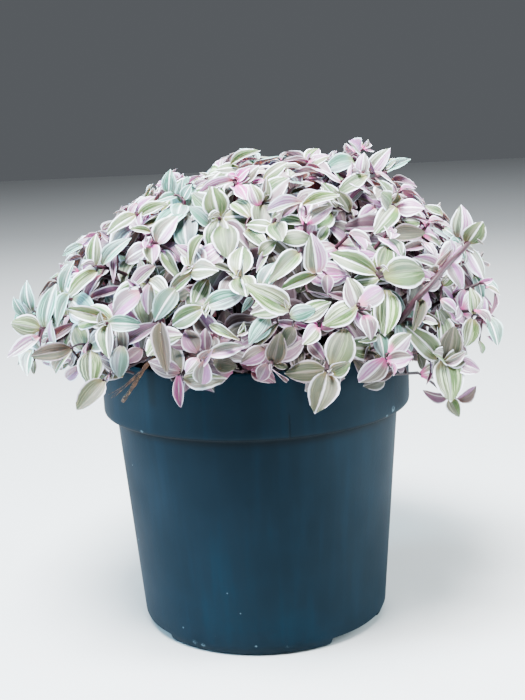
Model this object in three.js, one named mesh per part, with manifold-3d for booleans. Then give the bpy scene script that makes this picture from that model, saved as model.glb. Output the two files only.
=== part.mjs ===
// A potted pink lady turtle vine: a small nursery pot, its potting mix, a mound of leafy stems
// and one dry stem. Millimetres, +Z up, the table at height 0, the front towards -Y.
import * as THREE from 'three';
import { mergeVertices } from 'three/addons/utils/BufferGeometryUtils.js';
import Module from 'manifold-3d';

const wasm = await Module();
wasm.setup();

const degree = Math.PI / 180;
const goldenTurn = 137.508 * degree;
const up = new THREE.Vector3(0, 0, 1);

// Pot
const potHeight = 111;
const rimRadius = 60;
const bandHeight = 25;
const wallTopRadius = 55.3;
const wallFootRadius = 48.3;
const wallThickness = 1.4;
const lipDrop = 3.5;
const contactInner = 42.6;
const contactOuter = 45.2;
const floorRise = 4;
const potSegments = 36;
const notchAngles = [50, 170, 290];
const notchWidth = 32;
const notchHeight = 3.4;
const drainCount = 6;
const drainCircle = 30;
const drainRadius = 3.5;

// Potting mix
const soilTop = 99;
const soilCrown = 0.8;
const soilGap = 0.4;
const holeDepth = 12;
const holeGap = 0.45;
const holeSpacing = 5.6;
const baseReach = 47;
const straightStart = 5;

// Stems
const stemRadius = 1.35;
const shootRadius = 1.15;
const shootRoot = 0.55;
const stemSides = 3;
const stemBends = 4;
const stemSamples = 40;
const shootSamples = 13;
const stemClearance = 0.7;
const branchAt = 0.7;
const stemLift = 0.42;
const stemStretch = 0.36;
const sideReach = [17, 23];

// Mound on which the growing tips lie
const moundCentre = 118;
const moundReach = 87;
const moundRise = 61;
const moundDrop = 26;
const moundEdge = 95 * degree;
const lean = 0.035;
const lobes = [
  { direction: new THREE.Vector3(0.59, 0.1, 0.8).normalize(), height: 0.09, sharpness: 12 },
  { direction: new THREE.Vector3(-0.78, 0, 0.62).normalize(), height: -0.08, sharpness: 7 },
];
const facing = new THREE.Vector3(0, 0, 104);
const moundMiddle = new THREE.Vector3(0, 0, moundCentre);
const spiralCount = 60;
const tipSpacing = 19.5;
const shootSpacing = 14;
const shootsPerStem = 3;
const tipSpread = 1.3;

// Leaves
const leafLength = 16.8;
const leafAspect = 0.68;
const leafRise = 0.2;
const leafDroop = 0.4;
const leafCup = 0.2;
const leafSink = 0.1;
const leafSag = 0.16;
const leafClearance = 1.3;
const leafReach = 11;
const stemLeafOpening = 62;
const stemLeafPlaces = [0.86];
const largeSections = [0.24, 0.52, 0.8];
const smallSections = [0.3, 0.68];

// Growing tips seen from the front, one row for each stem, its own tip first
const seenStems = [
  [[-53, -55, 150], [-39, -41, 166]],
  [[-66, -53, 139], [-56, -69, 124]],
  [[-81, -38, 131], [-79, -45, 117]],
  [[-49, -72, 133], [-37, -75, 146]],
  [[-30, -82, 130], [-46, -76, 117]],
  [[-33, -60, 158], [-22, -44, 170]],
  [[-20, -75, 150], [-15, -84, 138]],
  [[-10, -58, 165], [-4, -34, 176]],
  [[-4, -76, 149], [9, -60, 164]],
  [[-16, -86, 122], [-4, -89, 131]],
  [[10, -85, 139], [5, -90, 120]],
  [[22, -75, 149], [19, -60, 163]],
  [[36, -79, 135], [23, -87, 117]],
  [[43, -69, 147], [51, -33, 165]],
  [[56, -69, 129], [44, -79, 116]],
  [[69, -42, 145], [82, -12, 147]],
  [[79, -41, 126], [65, -60, 112]],
  [[37, -24, 174], [23, -5, 179]],
  [[45, 3, 183], [55, 14, 173]],
  [[77, -30, 100]],
  [[-73, -34, 104]],
];

// Every draw depends only on the stem, the item on it and the use, so draws never shift each other
function draw(stem, item, use) {
  let mixed = Math.imul(stem + 1, 374761393) ^ Math.imul(item + 1, 668265263);
  mixed ^= Math.imul(use + 1, 461845907);
  mixed = Math.imul(mixed ^ (mixed >>> 15), 1274126177);
  mixed = Math.imul(mixed ^ (mixed >>> 13), 2246822519);
  return ((mixed ^ (mixed >>> 16)) >>> 0) / 4294967296;
}

function between(low, high, stem, item, use) {
  return low + (high - low) * draw(stem, item, use);
}

// Solids
function solidFrom(geometry) {
  const bare = new THREE.BufferGeometry();
  bare.setAttribute('position', geometry.getAttribute('position'));
  bare.setIndex(geometry.index);
  const merged = mergeVertices(bare, 1e-4);
  const corners = merged.index.array;
  const kept = [];
  for (let i = 0; i < corners.length; i += 3) {
    const [a, b, c] = [corners[i], corners[i + 1], corners[i + 2]];
    if (a !== b && b !== c && c !== a) kept.push(a, b, c);
  }
  return new wasm.Manifold(new wasm.Mesh({
    numProp: 3,
    vertProperties: new Float32Array(merged.getAttribute('position').array),
    triVerts: new Uint32Array(kept),
  }));
}

function geometryFrom(solid) {
  const mesh = solid.getMesh();
  const geometry = new THREE.BufferGeometry();
  geometry.setAttribute('position', new THREE.BufferAttribute(mesh.vertProperties, 3));
  geometry.setIndex(new THREE.BufferAttribute(mesh.triVerts, 1));
  return geometry;
}

function turned(profile, segments) {
  const points = profile.map(([radius, height]) => new THREE.Vector2(radius, height));
  return new THREE.LatheGeometry(points, segments).rotateX(Math.PI / 2);
}

// Pot: a tapered wall under a wide hollow band with a rolled lip, a floor on a notched foot ring
function wallRadius(height) {
  return wallFootRadius + (wallTopRadius - wallFootRadius) * height / (potHeight - bandHeight);
}

function potSolid() {
  const bandFoot = potHeight - bandHeight;
  const inside = rimRadius - wallThickness;
  const profile = [
    [0, floorRise],
    [contactInner - 0.7, floorRise],
    [contactInner, 0],
    [contactOuter, 0],
    [47.4, 1.5],
    [wallRadius(4.5), 4.5],
    [wallRadius(bandFoot - lipDrop), bandFoot - lipDrop],
    [rimRadius - 2.4, bandFoot - 0.4],
    [rimRadius - 1, bandFoot + 0.8],
    [rimRadius, bandFoot + 3.2],
    [rimRadius, potHeight - 0.9],
    [rimRadius - 0.5, potHeight],
    [inside, potHeight],
    [inside, bandFoot + 3.2],
    [wallRadius(bandFoot) - wallThickness, bandFoot + 1],
    [wallRadius(6) - wallThickness, floorRise + wallThickness],
    [0, floorRise + wallThickness],
  ];
  let pot = solidFrom(turned(profile, potSegments));
  for (const angle of notchAngles) {
    const notch = new THREE.BoxGeometry(notchWidth, 24, notchHeight * 2);
    notch.translate(0, -contactOuter, 0).rotateZ(angle * degree);
    pot = pot.subtract(solidFrom(notch));
  }
  for (let i = 0; i < drainCount; i += 1) {
    const drain = new THREE.CylinderGeometry(drainRadius, drainRadius, 8, 6).rotateX(Math.PI / 2);
    drain.translate(drainCircle, 0, floorRise).rotateZ((i + 0.5) * 2 * Math.PI / drainCount);
    pot = pot.subtract(solidFrom(drain));
  }
  return pot;
}

// Potting mix: fills the pot, with a plain hole for each stem
function soilSolid(holes) {
  const bandFoot = potHeight - bandHeight;
  const inset = wallThickness + soilGap;
  const profile = [
    [0, floorRise + inset],
    [wallRadius(6) - inset, floorRise + inset],
    [wallRadius(bandFoot) - inset, bandFoot + 1],
    [rimRadius - inset, bandFoot + 3.5],
    [rimRadius - inset, soilTop - 1.2],
    [rimRadius - inset - 2, soilTop],
    [0, soilTop + soilCrown],
  ];
  let soil = solidFrom(turned(profile, potSegments));
  for (const hole of holes) {
    const corner = (hole.radius + holeGap) * Math.SQRT2;
    const height = holeDepth + 4;
    const bore = new THREE.CylinderGeometry(corner, corner, height, 4).rotateX(Math.PI / 2);
    bore.translate(hole.x, hole.y, soilTop - holeDepth - holeGap + height / 2);
    soil = soil.subtract(solidFrom(bore));
  }
  return soil;
}

// Where nothing green may go: the pot's wall and band, and the potting mix
function clearOfPot(point, margin) {
  const reach = Math.hypot(point.x, point.y);
  if (reach > rimRadius + margin) return true;
  if (reach > rimRadius - wallThickness - margin) return point.z > potHeight + margin;
  return point.z > soilTop + soilCrown + margin;
}

// Mound
function moundPoint(direction) {
  const flat = Math.hypot(direction.x, direction.y) / moundReach;
  const rise = direction.z / (direction.z > 0 ? moundRise : moundDrop);
  let swell = 1 + lean * direction.x;
  for (const lobe of lobes) {
    swell += lobe.height * Math.max(0, direction.dot(lobe.direction)) ** lobe.sharpness;
  }
  const point = direction.clone().multiplyScalar(swell / Math.hypot(flat, rise));
  point.z += moundCentre;
  return point;
}

function moundDirection(point) {
  return new THREE.Vector3(point.x, point.y, point.z - moundCentre).normalize();
}

function moundNormal(point) {
  const rise = point.z > moundCentre ? moundRise : moundDrop * 1.6;
  return new THREE.Vector3(
    point.x / moundReach ** 2,
    point.y / moundReach ** 2,
    (point.z - moundCentre) / rise ** 2,
  ).normalize();
}

// Tips: those seen from the front, then a spiral over the rest of the mound
function allTips() {
  const stems = seenStems.map((tips) => tips.map((tip) => new THREE.Vector3(...tip)));
  const taken = stems.flat();
  const far = (point, space) => taken.every((other) => other.distanceTo(point) > space);
  for (let i = 0; i < spiralCount; i += 1) {
    const level = 1 - (1 - Math.cos(moundEdge)) * (i + 0.5) / spiralCount;
    const flat = Math.sqrt(1 - level * level);
    const turn = i * goldenTurn;
    const tip = moundPoint(new THREE.Vector3(flat * Math.cos(turn), flat * Math.sin(turn), level));
    if (!far(tip, tipSpacing)) continue;
    taken.push(tip);
    stems.push([tip]);
  }
  for (let i = 0; i < stems.length; i += 1) {
    const own = stems[i][0];
    const normal = moundNormal(own);
    const across = new THREE.Vector3().crossVectors(normal, new THREE.Vector3(0.3, 0.1, 1)).normalize();
    for (let tryout = 0; tryout < 12 && stems[i].length < shootsPerStem; tryout += 1) {
      const reach = between(...sideReach, i, tryout, 1);
      const turn = between(0, 360, i, 0, 2) * degree + tryout * 100 * degree;
      const offset = across.clone().applyAxisAngle(normal, turn).multiplyScalar(reach);
      const direction = moundDirection(own.clone().add(offset));
      const tip = moundPoint(direction);
      if (direction.z < Math.cos(moundEdge) || !far(tip, shootSpacing)) continue;
      taken.push(tip);
      stems[i].push(tip);
    }
  }
  return stems;
}

// The way a growing tip faces: away from the heart of the mound
function tipAxis(tip) {
  const away = tip.clone().sub(facing);
  return away.set(tipSpread * away.x, tipSpread * away.y, away.z).normalize();
}

// A path of straight stretches between rings, with a ring at each end
class StemPath extends THREE.Curve {
  constructor(rings) {
    super();
    this.rings = rings;
  }

  getPoint(t) {
    const place = THREE.MathUtils.clamp(t, 0, 1) * (this.rings.length - 1);
    const stretch = Math.min(Math.floor(place), this.rings.length - 2);
    return this.rings[stretch].clone().lerp(this.rings[stretch + 1], place - stretch);
  }

  getUtoTmapping(u) {
    return u;
  }
}

function pathPoints(path, count) {
  return Array.from({ length: count + 1 }, (_, i) => path.getPoint(i / count));
}

// A stem stands in its hole, rises and bends out to its tip, so stems nest like a fountain
function stemPath(base, tip) {
  const outward = new THREE.Vector3(tip.x, tip.y, 0).normalize();
  const arrive = tipAxis(tip).multiplyScalar(0.5).addScaledVector(outward, 0.6).normalize();
  const run = base.distanceTo(tip);
  const lift = Math.max(stemLift * (tip.z - soilTop), stemStretch * run);
  const bend = new THREE.CubicBezierCurve3(
    base,
    base.clone().addScaledVector(up, lift),
    tip.clone().addScaledVector(arrive, -stemStretch * run),
    tip,
  );
  return new StemPath([base.clone().setZ(soilTop - holeDepth), ...pathPoints(bend, stemBends)]);
}

// A side shoot runs straight from the stem to its own tip
function shootPath(stem, tip) {
  return new StemPath([stem.getPoint(branchAt), tip]);
}

function linesClear(points, others, gap) {
  return points.every((point) => others.every((other) => other.distanceTo(point) > gap));
}

// Stems: the first of a few nearby starting points that keeps each clear of the others
const startTries = [
  [0, 0], [5, 0], [-5, 0], [0, 7], [0, -7], [5, 7], [5, -7], [-5, 7], [-5, -7],
  [10, 0], [-10, 0], [0, 14], [0, -14], [9, 12], [9, -12], [-9, 12], [-9, -12],
  [14, 4], [-14, -4], [4, 20], [-4, -20], [18, 0], [-18, 0], [12, 24], [-12, -24],
];

function placeStems(tipRows, holes) {
  const stems = [];
  const lines = [];
  tipRows.forEach((tips, number) => {
    const tip = tips[0];
    const polar = Math.acos(THREE.MathUtils.clamp(moundDirection(tip).z, -1, 1));
    const azimuth = Math.atan2(tip.y, tip.x);
    for (const [shift, turn] of startTries) {
      const reach = THREE.MathUtils.clamp(baseReach * (polar / moundEdge) ** 0.85 + shift, 0, 51);
      const angle = azimuth + turn * degree;
      const base = new THREE.Vector3(reach, 0, soilTop + straightStart).applyAxisAngle(up, angle);
      if (holes.some((hole) => Math.hypot(hole.x - base.x, hole.y - base.y) < holeSpacing)) continue;
      const path = stemPath(base, tip);
      const points = pathPoints(path, stemSamples).filter((point) => point.z > base.z - 1);
      if (!points.every((point) => clearOfPot(point, stemRadius + 0.3))) continue;
      if (!linesClear(points, lines, 2 * stemRadius + stemClearance)) continue;
      holes.push({ x: base.x, y: base.y, radius: stemRadius });
      lines.push(...points);
      stems.push({ number, path, points, tips, shoots: [{ path, tip }] });
      break;
    }
  });
  for (const stem of stems) {
    for (const tip of stem.tips.slice(1)) {
      const path = shootPath(stem.path, tip);
      const points = pathPoints(path, shootSamples);
      const others = lines.filter((line) => !stem.points.includes(line));
      if (!points.every((point) => clearOfPot(point, shootRadius + 0.3))) continue;
      if (!linesClear(points, others, stemRadius + shootRadius + stemClearance)) continue;
      lines.push(...points);
      stem.points = stem.points.concat(points);
      stem.shoots.push({ path, tip });
    }
  }
  return stems;
}

// Leaf outline: pointed oval, widest a third of the way along
function outline(along) {
  return Math.sin(Math.PI * along ** 0.72) ** 0.9;
}

function leafArch(leaf, along) {
  return leaf.length * (leafRise * along - leafDroop * along * along);
}

function leafPoint(leaf, along, across) {
  const half = 0.5 * leaf.width * outline(along);
  return leaf.root.clone()
    .addScaledVector(leaf.forward, leaf.length * along)
    .addScaledVector(leaf.side, across * half)
    .addScaledVector(leaf.face, leafArch(leaf, along) - leafCup * half * Math.abs(across));
}

const sampleRows = [0.1, 0.23, 0.36, 0.49, 0.62, 0.75, 0.88];
const sampleColumns = [-1, -0.5, 0, 0.5, 1];

function makeLeaf(root, direction, upper, length, width, sections) {
  const forward = direction.clone().addScaledVector(up, -leafSag).normalize();
  const face = upper.clone().addScaledVector(forward, -upper.dot(forward)).normalize();
  const side = new THREE.Vector3().crossVectors(face, forward);
  const leaf = { root, forward, face, side, length, width, sections, samples: [] };
  for (const row of sampleRows) {
    for (const column of sampleColumns) leaf.samples.push(leafPoint(leaf, row, column));
  }
  leaf.samples.push(leafPoint(leaf, 1, 0));
  leaf.middle = leafPoint(leaf, 0.5, 0);
  return leaf;
}

// Whether a point lies within a leaf's outline and closer to its blade than the clearance
function touches(leaf, point, clearance, margin) {
  const offset = point.clone().sub(leaf.root);
  const along = offset.dot(leaf.forward) / leaf.length;
  if (along < -0.06 || along > 1.07) return false;
  const held = THREE.MathUtils.clamp(along, 0, 1);
  const half = 0.5 * leaf.width * outline(held);
  const across = Math.abs(offset.dot(leaf.side));
  if (across > half + margin) return false;
  const blade = leafArch(leaf, held) - leafCup * Math.min(across, half);
  return Math.abs(offset.dot(leaf.face) - blade) < clearance;
}

function leavesCross(first, second, clearance) {
  const reach = 0.56 * (first.length + second.length) + 2;
  if (first.middle.distanceTo(second.middle) > reach) return false;
  return first.samples.some((point) => touches(second, point, clearance, 0.9))
    || second.samples.some((point) => touches(first, point, clearance, 0.9));
}

// Each leaf takes the first of these turns, tilts and sizes that keeps it clear of its neighbours
const leafTries = [
  [0, 0, 1], [16, 0, 1], [-16, 0, 1], [0, -13, 1], [28, -8, 0.96], [-28, -8, 0.96],
  [0, 12, 0.96], [36, 4, 0.9], [-36, 4, 0.9], [0, -26, 0.92], [20, -22, 0.88], [-20, -22, 0.88],
  [48, -10, 0.82], [-48, -10, 0.82], [0, 0, 0.76], [0, -36, 0.8], [30, -30, 0.74], [-30, -30, 0.74],
];

// The leaves of a growing tip, largest and most open first, and those lower on the stem
const rosette = [
  { back: 4.6, size: 1.05, tilt: 74 },
  { back: 2.4, size: 0.97, tilt: 64 },
  { back: 0.3, size: 0.8, tilt: 46 },
];

function rosetteLeaf(stem, shootNumber, order, [turn, tilt, size]) {
  const { path, tip } = stem.shoots[shootNumber];
  const item = shootNumber * 10 + order;
  const own = rosette[order];
  const axis = tipAxis(tip);
  axis.x += between(-0.2, 0.2, stem.number, shootNumber, 9);
  axis.y += between(-0.2, 0.2, stem.number, shootNumber, 10);
  axis.z += between(-0.1, 0.25, stem.number, shootNumber, 11);
  axis.normalize();
  const level = Math.abs(axis.z) < 0.92 ? up : new THREE.Vector3(0, 1, 0);
  const across = new THREE.Vector3().crossVectors(axis, level).normalize();
  const start = between(0, 360, stem.number, shootNumber, 3) * degree;
  const outward = across.applyAxisAngle(axis, start + order * goldenTurn + turn * degree);
  const opening = (own.tilt + tilt + between(-8, 8, stem.number, item, 4)) * degree;
  const [rise, spread] = [Math.cos(opening), Math.sin(opening)];
  const direction = axis.clone().multiplyScalar(rise).addScaledVector(outward, spread);
  const upper = axis.clone().multiplyScalar(spread).addScaledVector(outward, -rise);
  const length = leafLength * own.size * size * between(0.9, 1.1, stem.number, item, 5);
  const width = length * leafAspect * between(0.88, 1.14, stem.number, item, 6);
  const before = path.rings[path.rings.length - 2];
  const root = tip.clone().lerp(before, own.back / tip.distanceTo(before));
  return makeLeaf(root, direction, upper, length, width, order ? smallSections : largeSections);
}

function stemLeaf(stem, order, [turn, tilt, size]) {
  const item = 60 + order;
  const place = stemLeafPlaces[order];
  const root = stem.path.getPoint(place);
  const forward = stem.path.getTangent(place);
  const normal = moundNormal(root).addScaledVector(up, 0.2).normalize();
  const sideways = new THREE.Vector3().crossVectors(forward, normal).normalize();
  const sense = order % 2 === (draw(stem.number, 0, 7) < 0.5 ? 0 : 1) ? 1 : -1;
  const opening = (stemLeafOpening + turn + between(-10, 10, stem.number, item, 8)) * degree;
  const direction = forward.clone().multiplyScalar(Math.cos(opening))
    .addScaledVector(sideways, sense * Math.sin(opening))
    .addScaledVector(normal, 0.25 - tilt / 60);
  const length = leafLength * size * between(0.92, 1.1, stem.number, item, 5);
  const width = length * leafAspect * between(0.88, 1.14, stem.number, item, 6);
  return makeLeaf(root, direction, normal, length, width, smallSections);
}

function placeLeaves(stems) {
  const placed = [];
  const spots = [];
  for (let order = 0; order < rosette.length; order += 1) {
    for (const stem of stems) {
      stem.shoots.forEach((_, shoot) => {
        spots.push({ stem, build: (change) => rosetteLeaf(stem, shoot, order, change) });
      });
    }
  }
  stemLeafPlaces.forEach((_, order) => {
    for (const stem of stems) spots.push({ stem, build: (change) => stemLeaf(stem, order, change) });
  });
  for (const { stem, build } of spots) {
    for (const change of leafTries) {
      const leaf = build(change);
      leaf.owner = stem;
      if (!leafIsClear(leaf, placed, stems)) continue;
      placed.push(leaf);
      break;
    }
  }
  return placed;
}

function leafIsClear(leaf, placed, stems) {
  const end = leaf.samples[leaf.samples.length - 1];
  const surface = moundPoint(moundDirection(end));
  surface.z -= moundCentre;
  if (end.distanceTo(moundMiddle) > surface.length() + leafReach) return false;
  if (!leaf.samples.every((point) => clearOfPot(point, 1.1))) return false;
  for (const stem of stems) {
    if (stem === leaf.owner) continue;
    const near = stem.points.some((point) => (
      point.distanceTo(leaf.middle) < 0.62 * leaf.length + 2 && touches(leaf, point, 2.3, 1.7)
    ));
    if (near) return false;
  }
  return placed.every((other) => {
    if (other.owner !== leaf.owner) return !leavesCross(leaf, other, leafClearance);
    const outer = leaf.samples.slice(15);
    return !outer.some((point) => point.distanceTo(other.root) > 6 && touches(other, point, 0.7, 0));
  });
}

// Blade: a pointed oval, arched along its length, with its rib on top and a flat underside
function bladeGeometry(leaf) {
  const points = [leaf.root.clone().addScaledVector(leaf.forward, -leafSink)];
  for (const along of leaf.sections) {
    points.push(leafPoint(leaf, along, -1), leafPoint(leaf, along, 0), leafPoint(leaf, along, 1));
  }
  points.push(leafPoint(leaf, 1, 0));
  const tip = points.length - 1;
  const faces = [[0, 1, 2], [0, 2, 3], [0, 3, 1]];
  for (let row = 1; row < tip - 3; row += 3) {
    for (const [a, b] of [[0, 1], [1, 2], [2, 0]]) {
      faces.push([row + a, row + 3 + a, row + b], [row + b, row + 3 + a, row + 3 + b]);
    }
  }
  const last = tip - 3;
  faces.push([last, tip, last + 1], [last + 1, tip, last + 2], [last + 2, tip, last]);
  const geometry = new THREE.BufferGeometry().setFromPoints(points);
  geometry.setIndex(faces.flat());
  return geometry;
}

function tubeGeometry(path, radius, sides) {
  const section = new THREE.Shape();
  for (let i = 0; i < sides; i += 1) {
    const angle = i * 2 * Math.PI / sides;
    section[i ? 'lineTo' : 'moveTo'](radius * Math.cos(angle), radius * Math.sin(angle));
  }
  const steps = path.rings.length - 1;
  return new THREE.ExtrudeGeometry(section, { steps, bevelEnabled: false, extrudePath: path });
}

// A side shoot starts thin inside its stem and thickens to its tip
function shootGeometry(path) {
  const [start, tip] = path.rings;
  const length = start.distanceTo(tip);
  const shoot = new THREE.CylinderGeometry(shootRadius, shootRoot, length, stemSides);
  const along = new THREE.Vector3(0, 1, 0);
  const toTip = new THREE.Quaternion().setFromUnitVectors(along, path.getTangent(0));
  shoot.translate(0, length / 2, 0).applyQuaternion(toTip);
  return shoot.translate(start.x, start.y, start.z);
}

// One leafy stem: its tubes and blades joined into one body
function stemSolid(stem, leaves) {
  let body = solidFrom(tubeGeometry(stem.path, stemRadius, stemSides));
  for (const { path } of stem.shoots.slice(1)) body = body.add(solidFrom(shootGeometry(path)));
  for (const leaf of leaves) body = body.add(solidFrom(bladeGeometry(leaf)));
  return body;
}

// Dry stem: a dead brown shoot that leans out over the rim at the front left
const dryRadius = 0.9;
const dryBase = new THREE.Vector3(-29, -31, soilTop);
const dryPoints = [
  [-30, -34, 111], [-33, -42, 116.5], [-38, -52, 114], [-42.5, -55, 108], [-47, -55, 102],
];

function dryPath() {
  const foot = dryBase.clone().setZ(soilTop - holeDepth);
  const above = dryPoints.map((point) => new THREE.Vector3(...point));
  return new StemPath([foot, dryBase, ...above]);
}

// Group
const group = new THREE.Group();

function addMesh(name, geometry, color, roughness) {
  const material = new THREE.MeshStandardMaterial({ color, roughness, metalness: 0 });
  const mesh = new THREE.Mesh(geometry, material);
  mesh.name = name;
  group.add(mesh);
}

const holes = [{ x: dryBase.x, y: dryBase.y, radius: dryRadius }];
const stems = placeStems(allTips(), holes);
const leaves = placeLeaves(stems);

addMesh('pot', geometryFrom(potSolid()), 0x2c4656, 0.55);
addMesh('soil', geometryFrom(soilSolid(holes)), 0x3a2c22, 0.95);
addMesh('dry_stem', tubeGeometry(dryPath(), dryRadius, 5), 0x8a5f3c, 0.8);
stems.forEach((stem, i) => {
  const own = leaves.filter((leaf) => leaf.owner === stem);
  const name = `leafy_stem_${String(i + 1).padStart(2, '0')}`;
  addMesh(name, geometryFrom(stemSolid(stem, own)), 0xb9c7a4, 0.5);
});

// The origin is under the middle of the whole plant's outline, on the table
const box = new THREE.Box3().setFromObject(group);
const middle = box.getCenter(new THREE.Vector3());
group.position.set(-middle.x, -middle.y, 0);

export default group;
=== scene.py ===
# A potted pink lady turtle vine: its pot, potting mix, one dry stem and a mound of leafy stems.
# The plant is laid out in millimetres about the pot's axis, and each piece is made in metres.
import math
import bpy
import numpy as np
from mathutils import Matrix, Vector, noise


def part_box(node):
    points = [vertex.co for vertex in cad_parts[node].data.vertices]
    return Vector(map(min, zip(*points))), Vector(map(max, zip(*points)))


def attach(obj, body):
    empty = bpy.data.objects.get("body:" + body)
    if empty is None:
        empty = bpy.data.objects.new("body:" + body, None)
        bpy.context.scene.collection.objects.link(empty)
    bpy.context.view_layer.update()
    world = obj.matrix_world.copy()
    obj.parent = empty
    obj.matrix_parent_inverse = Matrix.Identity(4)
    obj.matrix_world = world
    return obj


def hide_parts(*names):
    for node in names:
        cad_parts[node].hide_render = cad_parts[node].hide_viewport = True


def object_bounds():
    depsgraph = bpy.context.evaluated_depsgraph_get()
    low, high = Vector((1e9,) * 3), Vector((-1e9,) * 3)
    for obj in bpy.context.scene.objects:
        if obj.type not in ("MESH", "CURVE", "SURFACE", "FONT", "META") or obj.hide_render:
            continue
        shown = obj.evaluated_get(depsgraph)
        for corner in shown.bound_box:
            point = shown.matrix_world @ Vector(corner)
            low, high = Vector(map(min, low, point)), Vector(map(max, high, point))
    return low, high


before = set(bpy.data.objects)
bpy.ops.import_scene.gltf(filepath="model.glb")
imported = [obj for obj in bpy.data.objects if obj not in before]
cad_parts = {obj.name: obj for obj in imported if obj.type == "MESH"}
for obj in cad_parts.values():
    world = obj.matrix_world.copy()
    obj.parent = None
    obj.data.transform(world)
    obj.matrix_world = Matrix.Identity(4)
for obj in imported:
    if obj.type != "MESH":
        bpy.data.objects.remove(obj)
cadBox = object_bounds()

degree = math.pi / 180
goldenTurn = 137.508 * degree
upward = np.array([0.0, 0.0, 1.0])
potLow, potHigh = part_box("pot")
potAxis = np.array([(potLow[0] + potHigh[0]) / 2, (potLow[1] + potHigh[1]) / 2, 0.0])


def inMetres(points):
    return np.asarray(points, float) * 0.001 + potAxis


def unit(vector):
    return vector / math.sqrt(vector @ vector)


def held(value, low=0, high=1):
    return min(max(value, low), high)


def tone(*seen):
    # a colour as seen on a screen, made linear for the shader
    return tuple(((c / 255 + 0.055) / 1.055) ** 2.4 if c > 10 else c / 3294 for c in seen) + (1.0,)


# Every draw depends only on a row, an item in it and the use, so draws never shift each other
def draw(row, item, use):
    mixed = ((row + 1) * 374761393 ^ (item + 1) * 668265263 ^ (use + 1) * 461845907) & 0xffffffff
    mixed = (mixed ^ mixed >> 15) * 1274126177 & 0xffffffff
    mixed = (mixed ^ mixed >> 13) * 2246822519 & 0xffffffff
    return (mixed ^ mixed >> 16) / 4294967296


def between(low, high, row, item, use):
    return low + (high - low) * draw(row, item, use)


def betweenAll(ranges, row, item, use):
    return [between(low, high, row, item, use + i) for i, (low, high) in enumerate(ranges)]


def newObject(name, data):
    piece = bpy.data.objects.new(name, data)
    bpy.context.collection.objects.link(piece)
    return piece


def newMaterial(name):
    material = bpy.data.materials.new(name)
    material.use_nodes = True
    return material, material.node_tree, material.node_tree.nodes["Principled BSDF"]


# Camera, in millimetres and degrees, then lights and floor, in metres
view = {"place": (0, -480, 205.3), "pitch": 11.59, "yaw": 0.37, "roll": -2.57, "lens": 64.2, "sensor": 36}
lamps = {  # place, size, power, colour
    "topSoftbox": ((-0.12, -0.38, 1.0), (0.45, 0.35), 130, (0.93, 0.97, 1.0)),
    "leftStrip": ((-0.85, -0.15, 0.3), (0.35, 0.9), 42, (0.42, 0.77, 1.0)),
    "rightStrip": ((0.85, -0.1, 0.3), (0.35, 0.9), 38, (0.75, 0.94, 1.0)),
    "backLight": ((0.15, 0.8, 0.75), (0.8, 0.5), 14, (0.95, 0.98, 1.0)),
}
room = {
    "lampAim": (0, 0, 0.1), "backdrop": (0.78, 0.84, 0.92), "strength": 0.13,
    "floorSize": 6, "floorTone": (0.42, 0.42, 0.42), "floorRoughness": 0.6,
}


def makeCamera():
    pitch, yaw, roll = (view[key] * degree for key in ("pitch", "yaw", "roll"))
    ahead = Vector((math.sin(yaw) * math.cos(pitch), math.cos(yaw) * math.cos(pitch), -math.sin(pitch)))
    level = Vector((math.cos(yaw), -math.sin(yaw), 0))
    above = level.cross(ahead)
    right = level * math.cos(roll) + above * math.sin(roll)
    top = above * math.cos(roll) - level * math.sin(roll)
    data = bpy.data.cameras.new("photoCamera")
    data.lens, data.sensor_width = view["lens"], view["sensor"]
    camera = newObject("photoCamera", data)
    turn = Matrix((right, top, -ahead)).transposed().to_4x4()
    camera.matrix_world = Matrix.Translation(inMetres(view["place"])) @ turn
    bpy.context.scene.camera = camera


def makeLamps():
    for name, (place, size, power, colour) in lamps.items():
        data = bpy.data.lights.new(name, "AREA")
        data.shape = "RECTANGLE"
        data.size, data.size_y = size
        data.energy, data.color = power, colour
        turn = (Vector(room["lampAim"]) - Vector(place)).to_track_quat("-Z", "Y")
        newObject(name, data).matrix_world = Matrix.Translation(place) @ turn.to_matrix().to_4x4()


def makeRoom():
    world = bpy.data.worlds.new("paleRoom")
    world.use_nodes = True
    sky = world.node_tree.nodes["Background"]
    sky.inputs["Color"].default_value = room["backdrop"] + (1.0,)
    sky.inputs["Strength"].default_value = room["strength"]
    bpy.context.scene.world = world
    bpy.ops.object.select_all(action="DESELECT")
    bpy.ops.mesh.primitive_plane_add(size=room["floorSize"], location=(0, 0, 0))
    floor = bpy.context.object
    floor.name = "paleFloor"
    material, paint = newMaterial("floorPaint")[::2]
    paint.inputs["Base Color"].default_value = room["floorTone"] + (1.0,)
    paint.inputs["Roughness"].default_value = room["floorRoughness"]
    floor.data.materials.append(material)


makeCamera()
makeLamps()
makeRoom()
print("camera, lamps and floor are set")


# Short hands for shader trees
def addNode(tree, kind, **settings):
    node = tree.nodes.new(kind)
    for key, value in settings.items():
        setattr(node, key, value)
    return node


def feed(tree, value, socket):
    if isinstance(value, bpy.types.NodeSocket):
        tree.links.new(value, socket)
    else:
        socket.default_value = value


def feedAll(tree, values, sockets):
    for value, socket in zip(values, sockets):
        feed(tree, value, socket)


def calc(tree, operation, first, second=0.0, clamp=False):
    node = addNode(tree, "ShaderNodeMath", operation=operation, use_clamp=clamp)
    feedAll(tree, (first, second), node.inputs)
    return node.outputs[0]


def times(tree, first, second):
    return calc(tree, "MULTIPLY", first, second)


def plus(tree, first, second):
    return calc(tree, "ADD", first, second)


def fade(tree, value, low, high, toLow=0.0, toHigh=1.0):
    node = addNode(tree, "ShaderNodeMapRange", interpolation_type="SMOOTHSTEP")
    feedAll(tree, (value, low, high, toLow, toHigh), node.inputs)
    return node.outputs[0]


def fadeOut(tree, value, low, high):
    return fade(tree, value, low, high, 1.0, 0.0)


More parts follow.
